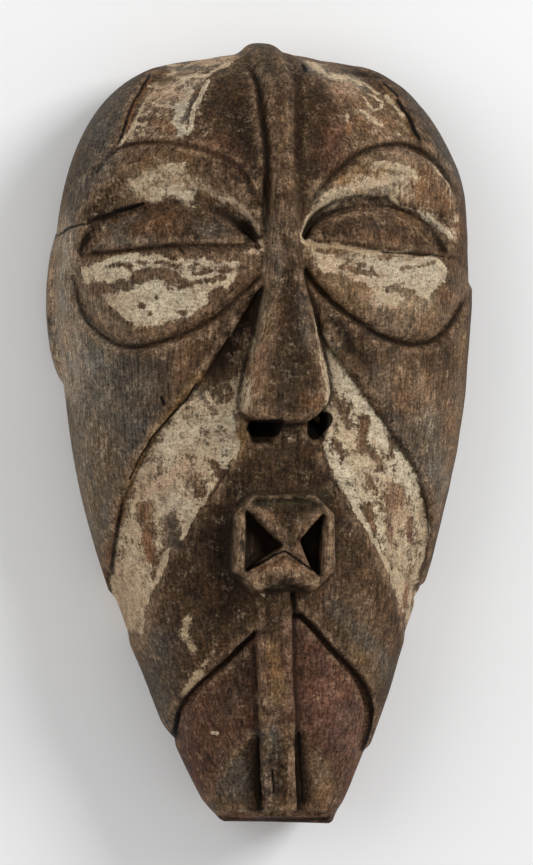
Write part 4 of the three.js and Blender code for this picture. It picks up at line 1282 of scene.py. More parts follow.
def carve_bar(maps, carve):
    """The bar from the mouth box down to the lip, with the short slot beside its top."""
    x, y = maps.x, maps.y
    bar = bar_distance(x, y)
    inside = within(bar, BAR_EDGE) * within(y - BAR_TOP[1] - BAR_HIDDEN_TOP, 1.0)
    rounding = BAR_ROUNDING * smooth_step((bar + BAR_ROUND_WIDTH) / BAR_ROUND_WIDTH)
    carve[:] = mix(carve, BAR_LIFT - rounding, inside)
    cut, half_width = BAR_SLOT_CUT
    carve -= cut * notch(line_distance(x, y, np.array(BAR_SLOT)), half_width)


def bevel_lip(maps, carve):
    from_left = smooth_step((maps.x - LIP_LEFT_X) / LIP_END_FADE)
    from_right = smooth_step((LIP_RIGHT_X - maps.x) / LIP_END_FADE)
    carve -= LIP_BEVEL * smooth_step((LIP_Y - maps.y) / LIP_SLOPE) * (from_left * from_right)


def carve_crest(maps, carve):
    """A rounded ridge between two cut lines, on a broad soft keel that lifts the top of the brow."""
    x, y = maps.x, maps.y
    left, right = spline(CREST_LEFT, 40)[::-1], spline(CREST_RIGHT, 40)[::-1]
    low = np.interp(y, left[:, 1], left[:, 0])
    high = np.interp(y, right[:, 1], right[:, 0])
    rise = smooth_step((y - CREST_START_Y + CREST_EARLY) / CREST_RISE_REACH)
    knob = smooth_step((y - KNOB_Y) / KNOB_REACH)
    across = (x - low) / (high - low) * 2.0 - 1.0
    arch = np.clip(1.0 - np.abs(across) ** CREST_SQUARENESS, 0, 1) ** CREST_ROUNDNESS
    ridge = (CREST_HEIGHT + KNOB_HEIGHT * knob) * rise * arch
    keel = KEEL_HEIGHT * smooth_step((y - KEEL_START_Y) / KEEL_FADE) * groove(x - KEEL_X, KEEL_REACH)
    carve += keel
    inside = (np.abs(across) < 1.0) & (y > CREST_END_Y)
    carve[:] = np.where(inside, np.maximum(carve, keel + ridge - CREST_SINK), carve)
    start = smooth_step((y - CREST_CUT_START_Y) / CREST_CUT_FADE[0])
    fade = start * smooth_step((CREST_CUT_END_Y - y) / CREST_CUT_FADE[1])
    for line, (cut, half_width), loss in ((low, CREST_LEFT_CUT, KNOB_CUT_LOSS), (high, CREST_RIGHT_CUT, 1.0)):
        carve -= cut * fade * notch(np.abs(x - line), half_width) * (1.0 - loss * knob)


def tip_rounding(across, height, start, reach, power):
    """How much higher the nose ends towards one of its tip's corners."""
    return height * np.clip((across - start) / reach, 0, 2) ** power


def raise_nose(maps, carve, lift):
    """The nose from its stations, flat in front with rounded sides, cut off straight under the tip."""
    x, y = maps.x, maps.y
    stations = np.array(NOSE_STATIONS[::-1])
    middle, foot, front, rise = (np.interp(y, stations[:, 0], stations[:, column]) for column in (1, 2, 3, 4))
    across = np.abs(x - middle)
    side = np.clip((foot - across) / np.maximum(foot - front, 0.1), 0, 1)
    side = 1.0 - (1.0 - side) ** NOSE_SIDE_CURVE
    crown = 1.0 - NOSE_CROWN * np.clip(across / np.maximum(front, 0.1), 0, 1) ** 2
    bottom = (NOSE_BOTTOM_Y + tip_rounding(middle - x, *NOSE_LEFT_ROUND)
              + tip_rounding(x - middle, *NOSE_RIGHT_ROUND))
    cut = smooth_step((y - bottom) / NOSE_CUT_WIDTH + 0.5) * smooth_step((NOSE_TOP_Y - y) / NOSE_TOP_FADE)
    crisp = 1.0 - NOSE_TIP_DROP * (1.0 - smooth_step((y - bottom) / NOSE_TIP_REACH))
    inside = smooth_step(side * NOSE_FOOT_STEEPNESS) * cut
    carve[:] = mix(carve, np.maximum(carve, 0.0), inside)
    np.maximum(lift, rise * side * crown * cut * crisp, out=lift)
    return cut * (across < foot + NOSE_FOOT_MARGIN)


def sink_nostrils(maps, lift, nose):
    for side in SIDES.values():
        (centre_x, centre_y), (half_width, half_height) = side["nostril"], side["nostril_radii"]
        across, up = (maps.x - centre_x) / half_width, (maps.y - centre_y) / half_height
        reach = (np.abs(across) ** NOSTRIL_POWER + np.abs(up) ** NOSTRIL_POWER) ** (1 / NOSTRIL_POWER)
        slant = mix(NOSTRIL_SHALLOW, 1.0, smooth_step((up + 1.0) / NOSTRIL_SLANT_REACH))
        lift -= NOSTRIL_DEPTH * slant * within(reach - NOSTRIL_INSET, NOSTRIL_EDGE) * (1.0 - nose)


def cut_corner_distance(across, up, width, height, corner):
    """Distance to a rectangle with cut corners, negative inside it."""
    flat = np.maximum(across - width / 2, up - height / 2)
    slant = (across + up - (width + height) / 2 + corner) / math.sqrt(2)
    return np.maximum(flat, slant)


def web_level(x, y):
    """Height of the crossed web in the box: two arms above, and a raised lip under a crack below."""
    reach = BOX_HEIGHT / 2 - BOX_RIM
    from_web = np.clip(np.hypot((x - WEB_CENTRE[0]) * WEB_NARROWING, y - WEB_CENTRE[1]) / reach, 0, 1)
    arms = mix(WEB_Z, BOX_FRONT_Z - WEB_END_DROP, from_web)
    from_arm = (y - WEB_CENTRE[1] - WEB_NARROWING * np.abs(x - WEB_CENTRE[0])) / WEB_DIP_REACH
    top = arms - WEB_DIP * smooth_step(from_arm)
    slope = np.where(x < CRACK_PEAK[0], *CRACK_SLOPES)
    wave = CRACK_WAVE[0] * np.sin(x * CRACK_WAVE[1])
    apex = CRACK_PEAK[1] - slope * np.abs(x - CRACK_PEAK[0]) + wave
    low_rise = np.clip((apex - y) / CRACK_LOW_REACH, 0, 1)
    bottom = mix(WEB_Z + CRACK_LOW_RISE, BOX_FRONT_Z - CRACK_LOW_DROP, low_rise)
    return mix(top, bottom, within(y - apex, CRACK_EDGE))


def mouth_box_level(maps):
    """Height of the mouth box's front, and how far it takes over from the face."""
    x, y = maps.x, maps.y
    across, up = np.abs(x - BOX_CENTRE[0]), np.abs(y - BOX_CENTRE[1])
    outer = cut_corner_distance(across, up, BOX_WIDTH, BOX_HEIGHT, BOX_CORNER)
    wider = BOX_RIM - BOX_TOP_RIM
    inner_up = np.abs(y - BOX_CENTRE[1] - wider / 2)
    inner = cut_corner_distance(across, inner_up, BOX_WIDTH - 2 * BOX_RIM, BOX_HEIGHT - 2 * BOX_RIM + wider,
                                BOX_INNER_CORNER)
    edge = np.clip((outer + BOX_EDGE_WIDTH) / BOX_EDGE_WIDTH, 0, 1)
    level = BOX_FRONT_Z - BOX_EDGE_DROP * edge ** 2
    level = mix(level, web_level(x, y), within(inner, BOX_RIM_EDGE))
    for name, side in SIDES.items():
        pit = outline_distance(x, y, np.array(side["pit"], float))
        rise, start, reach = PIT_SLOPE
        slope = rise * np.clip((start - x) / reach, 0, 1) if name == "left" else 0.0
        level = mix(level, PIT_FLOOR_Z + slope, within(pit - PIT_EDGE[0], PIT_EDGE[1]))
    notch_edge = NOTCH_TOP[1] - NOTCH_ARCH * ((x - NOTCH_TOP[0]) / NOTCH_HALF_WIDTH) ** 2
    level = level - NOTCH_DEPTH * np.clip((notch_edge - y) / NOTCH_DEPTH, 0, 1)
    return level, within(outer - BOX_SIDE_WALL[0], BOX_SIDE_WALL[1])


def draw_maps():
    """All carving, drawn with slightly wavy lines, and then the unevenness of the knife."""
    maps = Maps()
    place_x, place_y = maps.x.copy(), maps.y.copy()
    flat = np.zeros_like(place_x)
    for size, reach, seed in LINE_WAVES:
        maps.x += reach * lattice_noise(place_x / size, place_y / size, flat, seed)
        maps.y += reach * lattice_noise(place_x / size, place_y / size, flat, seed + 20)
    carve, lift = np.zeros_like(place_x), np.zeros_like(place_x)
    for name, side in SIDES.items():
        maps.fields["panel " + name] = carve_panel(maps, carve, side)
        cut_brow(maps, carve, side)
        bowl, lid, low = carve_eye(maps, carve, side, LEFT_BULGE if name == "left" else RIGHT_BULGE)
        maps.fields.update({"bowl " + name: bowl, "lid " + name: lid, "low " + name: low})
        maps.fields["band " + name] = carve_band(maps, carve, side)
    carve_coves(maps, carve)
    maps.fields["chin"] = carve_chin(maps, carve)
    for name, side in SIDES.items():
        maps.fields["leaf " + name] = carve_leaf(maps, carve, side)
    carve_bar(maps, carve)
    bevel_lip(maps, carve)
    for x, y, radius, depth in HOLLOWS:
        carve -= depth * np.exp(-((maps.x - x) ** 2 + (maps.y - y) ** 2) / radius ** 2)
    carve_crest(maps, carve)
    nose = raise_nose(maps, carve, lift)
    sink_nostrils(maps, lift, nose)
    level, weight = mouth_box_level(maps)
    size, reach, seed = BROAD_UNEVEN
    carve += reach * layered_noise(place_x, place_y, flat, size, seed)
    size, reach, seed = FINE_UNEVEN
    carve += reach * layered_noise(place_x, place_y / FINE_STRETCH, flat, size, seed)
    maps.fields["soft carve"] = blurred(carve, EDGE_SOFTENING)
    maps.fields.update({"carve": carve, "lift": lift, "box level": level, "box weight": weight})
    maps.x, maps.y = place_x, place_y
    return maps


# Painting, drawn on the same maps

def surface_height(maps, x, y):
    """Height of the carved front, near enough to place the painting by the photograph's pixels."""
    height = face_height(x, y) + maps.read("carve", x, y) + maps.read("lift", x, y)
    return mix(height, maps.read("box level", x, y), maps.read("box weight", x, y))


def pixel_places(maps, pixels):
    """Where pixels of the photograph's frame meet the carved front, in millimetres."""
    pixels = np.array(pixels, float)
    turn = math.radians(VIEW_TURN)
    height = np.full(len(pixels), WIDEST_Z + BROW_DEPTH)
    for _ in range(PLACE_STEPS):
        rise = height - WIDEST_Z
        scale = PIXEL_MM * (VIEW_DISTANCE - rise) / VIEW_DISTANCE
        x = (pixels[:, 0] - VIEW_CENTRE_PIXEL[0]) * scale / math.cos(turn) - rise * math.tan(turn)
        y = (VIEW_CENTRE_PIXEL[1] - pixels[:, 1]) * scale
        height = mix(height, surface_height(maps, x, y), PLACE_SHARE)
    return np.stack([x, y], axis=1)


def wander(maps, reach, width, height, seed):
    """Waves for the edges of the paint."""
    return reach * lattice_noise(maps.x / width, maps.y / height, np.zeros_like(maps.x), seed)


def stroke(maps, half_width, strength, pixels, wavy=1.0):
    """A soft brush stroke along the pixels."""
    places = pixel_places(maps, pixels)
    x, y = mix(maps.x, maps.wavy_x, wavy), mix(maps.y, maps.wavy_y, wavy)
    return strength * groove(line_distance(x, y, places), half_width * PIXEL_MM)


def strongest(maps, field, strokes, wavy=1.0):
    for half_width, strength, pixels in strokes:
        field = np.maximum(field, stroke(maps, half_width, strength, pixels, wavy))
    return field


def plain_colour(maps, pigment):
    colours = np.empty((*maps.x.shape, 3), np.float32)
    colours[:] = PIGMENTS[pigment]
    return colours


def blend_in(colours, pigment, share):
    colours += (np.array(PIGMENTS[pigment]) - colours) * share[..., None]


def blend_strokes(maps, colours, strokes):
    for pigment, half_width, share, pixels in strokes:
        blend_in(colours, pigment, np.clip(stroke(maps, half_width, share, pixels), 0, 1))
    return colours


def paint_tones(maps):
    """Colour of the wood."""
    colours = plain_colour(maps, "umber")
    for area, pigment, share in AREA_TONES:
        blend_in(colours, pigment, share * within(maps.fields[area], AREA_EDGE))
    return blend_strokes(maps, colours, TONE_STROKES)


def paint_cover(maps):
    """How much pale paint stands at each place: above a half is covered."""
    cover = np.zeros_like(maps.x)
    for area, share in PALE_AREAS:
        cover = np.maximum(cover, share * within(maps.fields[area] + PALE_AREA_INSET, PALE_AREA_EDGE))
    for outline in PALE_OUTLINES:
        distance = outline_distance(maps.wavy_x, maps.wavy_y, pixel_places(maps, outline))
        cover = np.maximum(cover, PALE_OUTLINE_SHARE * within(distance, PALE_OUTLINE_EDGE))
    cover = strongest(maps, cover, PALE_STROKES)
    for half_width, share, pixels in LOST_STROKES:
        lost = stroke(maps, half_width, share, pixels)
        cover = cover * (1.0 - np.clip(LOSS_STRENGTH * lost, 0, 1))
    return strongest(maps, cover, LATE_STROKES)


def paint_wash(maps):
    """Where the pale paint has worn to a soft wash."""
    wash = np.zeros_like(maps.x)
    for area, share in AREA_WASHES:
        wash = np.maximum(wash, share * within(maps.fields[area], AREA_EDGE))
    return strongest(maps, wash, WASH_STROKES)


def paint_soot_shade_and_wear(maps):
    """Soot and painted shade in the narrow cuts, painted shade in the hollows, and wear and painted
    highlights on the edges, from how the front stands to its surroundings.
    """
    height = maps.fields["carve"] + LIFT_SOOT_AND_SHADE_SHARE * maps.fields["lift"]
    height = mix(height, maps.fields["box level"] - WEB_Z, maps.fields["box weight"])
    near, far = (blurred(height, reach) for reach in CUT_BLURS)
    # soot and painted shade in the narrow cuts
    share, start, reach = CUT_SOOT_AND_SHADE
    cut_soot_and_shade = share * smooth_step((far - near - start) / reach)
    # painted shade in the broad hollows
    share, start, reach = HOLLOW_SHADE
    cut_soot_and_shade = cut_soot_and_shade + share * np.clip((blurred(height, HOLLOW_BLUR) - near - start) / reach, 0, 1)
    # less painted shade where the pit floor is lit
    for half_width, share, pixels in LESS_SHADE_STROKES:
        cut_soot_and_shade *= 1.0 - stroke(maps, half_width, share, pixels)
    # edges lighter: rubbed wear and painted highlight
    wear_and_highlight = np.clip((blurred(height, WEAR_AND_HIGHLIGHT_BLUR) - near + WEAR_AND_HIGHLIGHT_START) / -WEAR_AND_HIGHLIGHT_REACH, 0, 1)
    return cut_soot_and_shade, wear_and_highlight


def paint_maps(maps):
    wide, tall, fine = (wander(maps, *waves) for waves in WANDERS)
    maps.wavy_x = maps.x + wide + fine
    maps.wavy_y = maps.y + tall
    tone, tint = paint_tones(maps), blend_strokes(maps, plain_colour(maps, "cream"), COVER_STROKES)
    for index, channel in enumerate(CHANNELS):
        maps.fields["tone " + channel] = tone[..., index]
        maps.fields["tint " + channel] = tint[..., index]
    maps.fields["cover"] = paint_cover(maps)
    maps.fields["wash"] = paint_wash(maps)
    maps.fields["cut_soot_and_shade"], maps.fields["wear_and_highlight"] = paint_soot_shade_and_wear(maps)
    maps.fields["lines"] = strongest(maps, np.zeros_like(maps.x), DARK_STROKES, LINE_WANDER)


# The closed body: rings of points along y, out over the face and back through the hollow

def ring_heights():
    low = np.arange(CHIN_CUT_Y, BROW_Y, RING_STEP)
    turns = np.linspace(0.0, math.pi / 2, DOME_RINGS)
    return np.concatenate([low, BROW_Y + (DOME_TOP_Y - BROW_Y) * np.sin(turns)])


def section_arch(turn):
    """Across and up over a rounded section, as shares of its half-width and depth."""
    across = np.sign(turn) * np.abs(np.sin(turn)) ** (2 / SECTION_POWER)
    return across, np.abs(np.cos(turn)) ** (2 / SECTION_POWER)


def outer_ring_points(y):
    """Points over the outside of the body, from rim to rim."""
    lean, half, depth, widest = egg_section(y)
    part = np.linspace(0.0, 1.0, SKIRT_COUNT, endpoint=False)
    pull = 1.0 - SKIRT_TUCK * (1.0 - part) ** 2
    left = np.stack([(lean - half) * pull, y * pull, widest * part], axis=1)
    right = np.stack([(lean + half) * pull, y * pull, widest * part], axis=1)[::-1]
    across, up = section_arch(math.pi * (np.linspace(0.0, 1.0, ARC_COUNT) - 0.5))
    arch = np.stack([lean + half * across, np.full_like(across, y), widest + depth * up], axis=1)
    return np.vstack([left, arch, right])


def inner_ring_points(y):
    """Points over the hollow behind the face, from the right rim back to the left one."""
    top = DOME_TOP_Y - WALL_FRONT - HOLLOW_TOP_GAP
    lean, half, depth, widest = egg_section(min(y, top), WALL_SIDE, WALL_FRONT)
    half = min(float(half), HOLLOW_WIDTH_SHARE * float(egg_section(y)[1]))
    across, up = section_arch(math.pi * (np.linspace(1.0, 0.0, INNER_COUNT) - 0.5))
    hollow = HOLLOW_BOTTOM_Y < y < top
    x, z = lean + half * across, (widest + depth * up) if hollow else 0.0 * up
    steps = np.linspace(0.0, 1.0, WALL_COUNT, endpoint=False)
    x = np.concatenate([np.full(WALL_COUNT, x[0]), x, np.full(WALL_COUNT, x[-1])])
    z = np.concatenate([steps * z[0], z, steps[::-1] * z[-1]])
    return np.stack([x, np.full_like(x, y * (1.0 - SKIRT_TUCK)), z], axis=1)


def ring_faces(rows, count):
    row, column = np.meshgrid(np.arange(rows - 1), np.arange(count), indexing="ij")
    start = row * count
    after = (column + 1) % count
    return np.stack([start + column, start + after, start + count + after, start + count + column], axis=-1)


def end_strips(start, outer_count, flip):
    """Joins the outside points of an end ring across, from rim to rim."""
    faces = []
    for i in range(outer_count // 2 - 1):
        a, b = start + i, start + i + 1
        c, d = start + outer_count - 2 - i, start + outer_count - 1 - i
        faces.append((a, b, c, d) if flip else (d, c, b, a))
    return faces


def end_floor(start, outer_count, count, flip):
    """The face between an end ring's rim and its inner points."""
    loop = list(range(start + outer_count - 1, start + count)) + [start]
    return loop[::-1] if flip else loop


def surface_directions(grid):
    direction = np.cross(np.gradient(grid, axis=1), np.gradient(grid, axis=0))
    direction = direction / np.maximum(np.linalg.norm(direction, axis=2, keepdims=True), 1e-9)
    rows, count = direction.shape[:2]
    return direction if direction[rows // 2, count // 2, 2] > 0 else -direction


def ear_swell(points):
    """How far the two ear flanges stand out from the skirt."""
    x, y, z = points[..., 0], points[..., 1], points[..., 2]
    reach = np.clip(1.0 - ((y - EAR_CENTRE[1]) / EAR_RADII[1]) ** 2, 0, 1)
    edge = EAR_CENTRE[0] + EAR_RADII[0] * np.sqrt(reach)
    stands = np.clip(edge - np.abs(x), 0, None) * (reach > 0)
    return stands * within(np.abs(z - EAR_CENTRE[2]) - EAR_THICKNESS / 2, EAR_EDGE)


def carve_outside(maps, outer):
    """The outer rings moved by the carving: softer and weaker on steep sides, and none low on the skirt."""
    direction = surface_directions(outer)
    seat = outer - SEAT_DEPTH * direction
    steep = 1.0 - np.abs(direction[..., 2])
    crisp = maps.read("carve", seat[..., 0], seat[..., 1])
    soft = maps.read("soft carve", seat[..., 0], seat[..., 1])
    carve = mix(crisp, soft, smooth_step((steep - STEEP_FROM) / STEEP_REACH))
    front = smooth_step((outer[..., 2] - FRONT_FROM_Z) / FRONT_REACH)
    chin_side = smooth_step((CHIN_SIDE_Y - outer[..., 1]) / CHIN_SIDE_FADE)
    band_side = smooth_step((BAND_SIDE_Y - outer[..., 1]) / BAND_SIDE_FADE)
    low_side = np.maximum(chin_side, band_side)
    steepness = np.clip(steep * SIDE_STEEPNESS[0] - SIDE_STEEPNESS[1], 0, 1)
    carve = carve * np.maximum(front, low_side) * mix(1.0, SIDE_CARVE_SHARE, steepness * low_side)
    carved = outer + direction * (carve + ear_swell(outer))[..., None]
    carved[..., 2] += maps.read("lift", carved[..., 0], carved[..., 1]) * front
    weight = maps.read("box weight", carved[..., 0], carved[..., 1]) * front
    level = maps.read("box level", carved[..., 0], carved[..., 1])
    carved[..., 2] = np.maximum(mix(carved[..., 2], level, weight), 0.0)
    return carved


def shape_lip(grid):
    """Arches the under edge of the lip and draws its two corners in."""
    from_middle = np.abs(grid[..., 0] - LEAN_AT_CHIN)
    arch = LIP_ARCH * np.clip(1.0 - (from_middle / LIP_ARCH_HALF_WIDTH) ** 2, 0.0, 1.0)
    corner = LIP_CORNER * smooth_step((from_middle - LIP_CORNER_X) / LIP_CORNER_FADE)
    grid[..., 1] += (arch + corner) * smooth_step((LIP_REACH_Y - grid[..., 1]) / LIP_REACH_FADE)


def raw_mesh(maps):
    heights = ring_heights()
    outer = np.stack([outer_ring_points(y) for y in heights])
    inner = np.stack([inner_ring_points(y) for y in heights])
    grid = np.concatenate([carve_outside(maps, outer), inner], axis=1)
    shape_lip(grid)
    rows, count = grid.shape[:2]
    outer_count = outer.shape[1]
    faces = ring_faces(rows, count).reshape(-1, 4).tolist()
    ends = ((0, True), ((rows - 1) * count, False))
    for start, flip in ends:
        faces += end_strips(start, outer_count, flip)
    for start, flip in ends:
        faces.append(end_floor(start, outer_count, count, flip))
    mesh = bpy.data.meshes.new("mask_carving")
    mesh.from_pydata(grid.reshape(-1, 3).tolist(), [], faces)
    return mesh


def apply_modifiers(piece):
    graph = bpy.context.evaluated_depsgraph_get()
    made = bpy.data.meshes.new_from_object(piece.evaluated_get(graph))
    piece.modifiers.clear()
    piece.data = made


def points_of(mesh):
    points = np.empty(len(mesh.vertices) * 3)
    mesh.vertices.foreach_get("co", points)
    return points.reshape(-1, 3)


def directions_of(mesh):
    directions = np.empty(len(mesh.vertices) * 3)
    mesh.vertex_normals.foreach_get("vector", directions)
    return directions.reshape(-1, 3)


def is_outside(points, directions, maps):
    """True on the face, skirt and chin and in the nostrils, False in the hollow and on the back rim."""
    x, y, z = points.T
    on_egg_y = np.clip(y, CHIN_CUT_Y, DOME_TOP_Y - DOME_END_GAP)
    lean, half, _, _ = egg_section(on_egg_y)
    depth = face_height(x, on_egg_y) - z
    marked = maps.read("lines", x, y) > NOSTRIL_LINES_FROM
    in_nostril = marked & (depth < NOSTRIL_DEPTH + NOSTRIL_EXTRA_DEPTH)
    skirt = (half - np.abs(x - lean) < SKIRT_REACH) | (y < HOLLOW_BOTTOM_Y - CHIN_REACH)
    return ((depth < OUTSIDE_DEPTH) | in_nostril | skirt) & (directions[:, 2] > BACK_FACING)


def triangle_count(mesh):
    return len(mesh.loops) - 2 * len(mesh.polygons)


def decimate(piece, share, chosen, other_weight):
    """Keeps a share of the triangles, and thins the chosen points more than the others."""
    group = piece.vertex_groups.new(name="thin")
    group.add(np.nonzero(chosen)[0].tolist(), 1.0, "REPLACE")
    group.add(np.nonzero(~chosen)[0].tolist(), other_weight, "REPLACE")
    thin = piece.modifiers.new("thin", "DECIMATE")
    thin.ratio = share
    thin.vertex_group = "thin"
    apply_modifiers(piece)
    piece.vertex_groups.clear()


def thin_mesh(piece, maps):
    """Thins the hollow first, then the rest, and keeps the painted places finest."""
    outside = is_outside(points_of(piece.data), directions_of(piece.data), maps)
    decimate(piece, 1.0 - (1.0 - outside.mean()) * HOLLOW_THINNING, ~outside, 0.0)
    points, directions = points_of(piece.data), directions_of(piece.data)
    x, y = points[:, 0], points[:, 1]
    painted = np.maximum(maps.read("cover", x, y), maps.read("lines", x, y)) > PAINTED_FROM
    fine = is_outside(points, directions, maps) & painted & (directions[:, 2] > FACING_UP)
    decimate(piece, TRIANGLE_LIMIT / triangle_count(piece.data), ~fine, PAINT_THINNING)


def sink_ear_holes(piece):
    """A small round hole in the front edge of each ear flange: points inside it are pushed to its wall."""
    points = points_of(piece.data)
    radii = np.array(EAR_HOLE_RADII)
    for side in (-1, 1):
        edge_x = side * (EAR_CENTRE[0] + EAR_RADII[0])
        centre = np.array([edge_x, EAR_HOLE_Y, EAR_CENTRE[2] + EAR_THICKNESS / 2])
        away = (points - centre) / radii
        reach = np.maximum(np.linalg.norm(away, axis=1, keepdims=True), 0.05)
        points = np.where(reach < 1.0, centre + away / reach * radii, points)
    piece.data.vertices.foreach_set("co", points.ravel())


def read_colour(maps, name, x, y):
    return np.stack([maps.read(name + " " + channel, x, y) for channel in CHANNELS], axis=1)


def store_colour(mesh, name, colours):
    layer = mesh.attributes.new(name, "FLOAT_COLOR", "POINT")
    with_alpha = np.hstack([colours, np.ones((len(colours), 1))])
    layer.data.foreach_set("color", with_alpha.astype(np.float32).ravel())


def store_paint(piece, maps):
    """Reads the painting from the maps into the points: bare brown wood in the hollow."""
    mesh = piece.data
    points, directions = points_of(mesh), directions_of(mesh)
    outside = is_outside(points, directions, maps)
    x, y = points[:, 0], points[:, 1]
    size, seed, strength = MOTTLE
    mottle = np.exp(strength * layered_noise(*points.T, size, seed))[:, None]
    size, seed, channels = HUE_DRIFT
    hue = np.exp(np.outer(layered_noise(*points.T, size, seed), channels))
    tone = np.where(outside[:, None], read_colour(maps, "tone", x, y), np.array(PIGMENTS["brown"]))
    store_colour(mesh, "tone", tone * mottle * hue)
    store_colour(mesh, "tint", read_colour(maps, "tint", x, y))
    for name in ("cover", "wash", "cut_soot_and_shade", "wear_and_highlight", "lines"):
        layer = mesh.attributes.new(name, "FLOAT", "POINT")
        layer.data.foreach_set("value", (maps.read(name, x, y) * outside).astype(np.float32))


def make_mask(maps):
    piece = bpy.data.objects.new("mask_carving", raw_mesh(maps))
    bpy.context.scene.collection.objects.link(piece)
    remesh = piece.modifiers.new("even", "REMESH")
    remesh.mode = "VOXEL"
    remesh.voxel_size = VOXEL
    apply_modifiers(piece)
    sink_ear_holes(piece)
    thin_mesh(piece, maps)
    store_paint(piece, maps)
    points = points_of(piece.data)
    points[:, 2] = np.clip(points[:, 2], 0.0, TOP_Z)
    piece.data.vertices.foreach_set("co", (points * MM).ravel())
    piece.data.update()
    for polygon in piece.data.polygons:
        polygon.use_smooth = True
    return piece


# Materials

class Shader:
    """Short ways to add and join nodes of one material."""

    def __init__(self, name):
        self.material = bpy.data.materials.new(name)
        self.material.use_nodes = True
        self.nodes, self.links = self.material.node_tree.nodes, self.material.node_tree.links
        self.surface = self.nodes["Principled BSDF"]
        self.place = self.nodes.new("ShaderNodeTexCoord").outputs["Object"]

    def feed(self, socket, value):
        if isinstance(value, bpy.types.NodeSocket):
            self.links.new(value, socket)
        else:
            socket.default_value = value

    def attribute(self, name, output="Fac"):
        node = self.nodes.new("ShaderNodeAttribute")
        node.attribute_name = name
        return node.outputs[output]

    def math(self, operation, first, second=0.0, third=0.0):
        node = self.nodes.new("ShaderNodeMath")
        node.operation = operation
        for socket, value in zip(node.inputs, (first, second, third)):
            self.feed(socket, value)
        return node.outputs[0]

    def times(self, first, second):
        return self.math("MULTIPLY", first, second)

    def add_times(self, total, value, amount):
        """The total with the value times the amount added."""
        return self.math("MULTIPLY_ADD", value, amount, total)

    def swing(self, total, noise, amount):
        """The total moved up and down by noise around a half."""
        return self.add_times(total, self.math("SUBTRACT", noise, 0.5), amount)

    def ramp(self, value, low, high, start=0.0, end=1.0):
        """The value taken smoothly from low..high to start..end."""
        node = self.nodes.new("ShaderNodeMapRange")
        node.interpolation_type = "SMOOTHSTEP"
        names = ("Value", "From Min", "From Max", "To Min", "To Max")
        for name, number in zip(names, (value, low, high, start, end)):
            self.feed(node.inputs[name], number)
        return node.outputs["Result"]

    def stretched(self, scale):
        node = self.nodes.new("ShaderNodeMapping")
        node.inputs["Scale"].default_value = scale
        self.links.new(self.place, node.inputs["Vector"])
        return node.outputs["Vector"]

    def noise(self, size, detail=3.0, roughness=0.6, stretch=(1.0, 1.0, 1.0), distortion=0.0):
        """Noise with features of the given size in millimetres, around 0.5."""
        node = self.nodes.new("ShaderNodeTexNoise")
        self.links.new(self.stretched([1.0 / (size * MM * part) for part in stretch]), node.inputs["Vector"])
        node.inputs["Scale"].default_value = 1.0
        node.inputs["Detail"].default_value = detail
        node.inputs["Roughness"].default_value = roughness
        node.inputs["Distortion"].default_value = distortion
        return node.outputs["Fac"]

    def mix_colour(self, share, first, second, blend="MIX"):
        node = self.nodes.new("ShaderNodeMix")
        node.data_type = "RGBA"
        node.blend_type = blend
        sockets = [socket for socket in node.inputs if socket.enabled]
        for socket, value in zip(sockets, (share, first, second)):
            self.feed(socket, value)
        return [socket for socket in node.outputs if socket.enabled][0]

    def scaled(self, colour, amount):
        node = self.nodes.new("ShaderNodeVectorMath")
        node.operation = "SCALE"
        self.feed(node.inputs[0], colour)
        self.feed(node.inputs["Scale"], amount)
        return node.outputs[0]


def wood_colour(shader, noises):
    """Smoked wood with grain, flecks, pale dust, a drift of hue, and rubbed edges lightened both as wear and
    as painted highlights.
    """
    tone = shader.attribute("tone", "Color")
    light = 1.0
    for name, limits in WOOD_LIGHT:
        light = shader.times(light, shader.ramp(noises[name], *limits))
    wood = shader.scaled(tone, light)
    dust = shader.times(shader.ramp(noises["blotch"], 0.5, 0.66), shader.ramp(noises["fleck"], 0.5, 0.62))
    wood = shader.mix_colour(shader.times(dust, DUST_SHARE), wood, DUST_COLOUR)
    hue = shader.ramp(noises["hue"], 0.36, 0.64)
    wood = shader.mix_colour(1.0, wood, shader.mix_colour(hue, COOL_CAST, WARM_CAST), "MULTIPLY")
    # convex edges lighter: rubbed wear and painted highlight
    wear_and_highlight = shader.times(shader.attribute("wear_and_highlight"), shader.ramp(noises["blotch"], 0.36, 0.58))
    worn_and_lit = shader.scaled(shader.mix_colour(0.5, tone, WORN_AND_LIT_COLOUR), light)
    return shader.mix_colour(shader.times(wear_and_highlight, WORN_AND_LIT_SHARE), wood, worn_and_lit)


def paint_edges(shader, noises):
    """Where the pale paint stands: its ragged share, softer where it is a wash."""
    ragged = shader.attribute("cover")
    for name, amount in PALE_RAGGEDNESS:
        ragged = shader.swing(ragged, noises[name], amount)
    wash = shader.attribute("wash")
    low, high = (shader.add_times(edge, wash, amount) for edge, amount in PALE_EDGES)
    return ragged, shader.ramp(ragged, low, high)


def paint_colour(shader, noises):
    """The pale paint's own colour, stained and worn thin in flecks."""
    stain = shader.times(shader.ramp(noises["stain"], 0.48, 0.66), STAIN_SHARE)
    colour = shader.mix_colour(stain, shader.attribute("tint", "Color"), STAIN_COLOUR)
    for name, limits in PAINT_LIGHT:
        colour = shader.scaled(colour, shader.ramp(noises[name], *limits))
    return colour


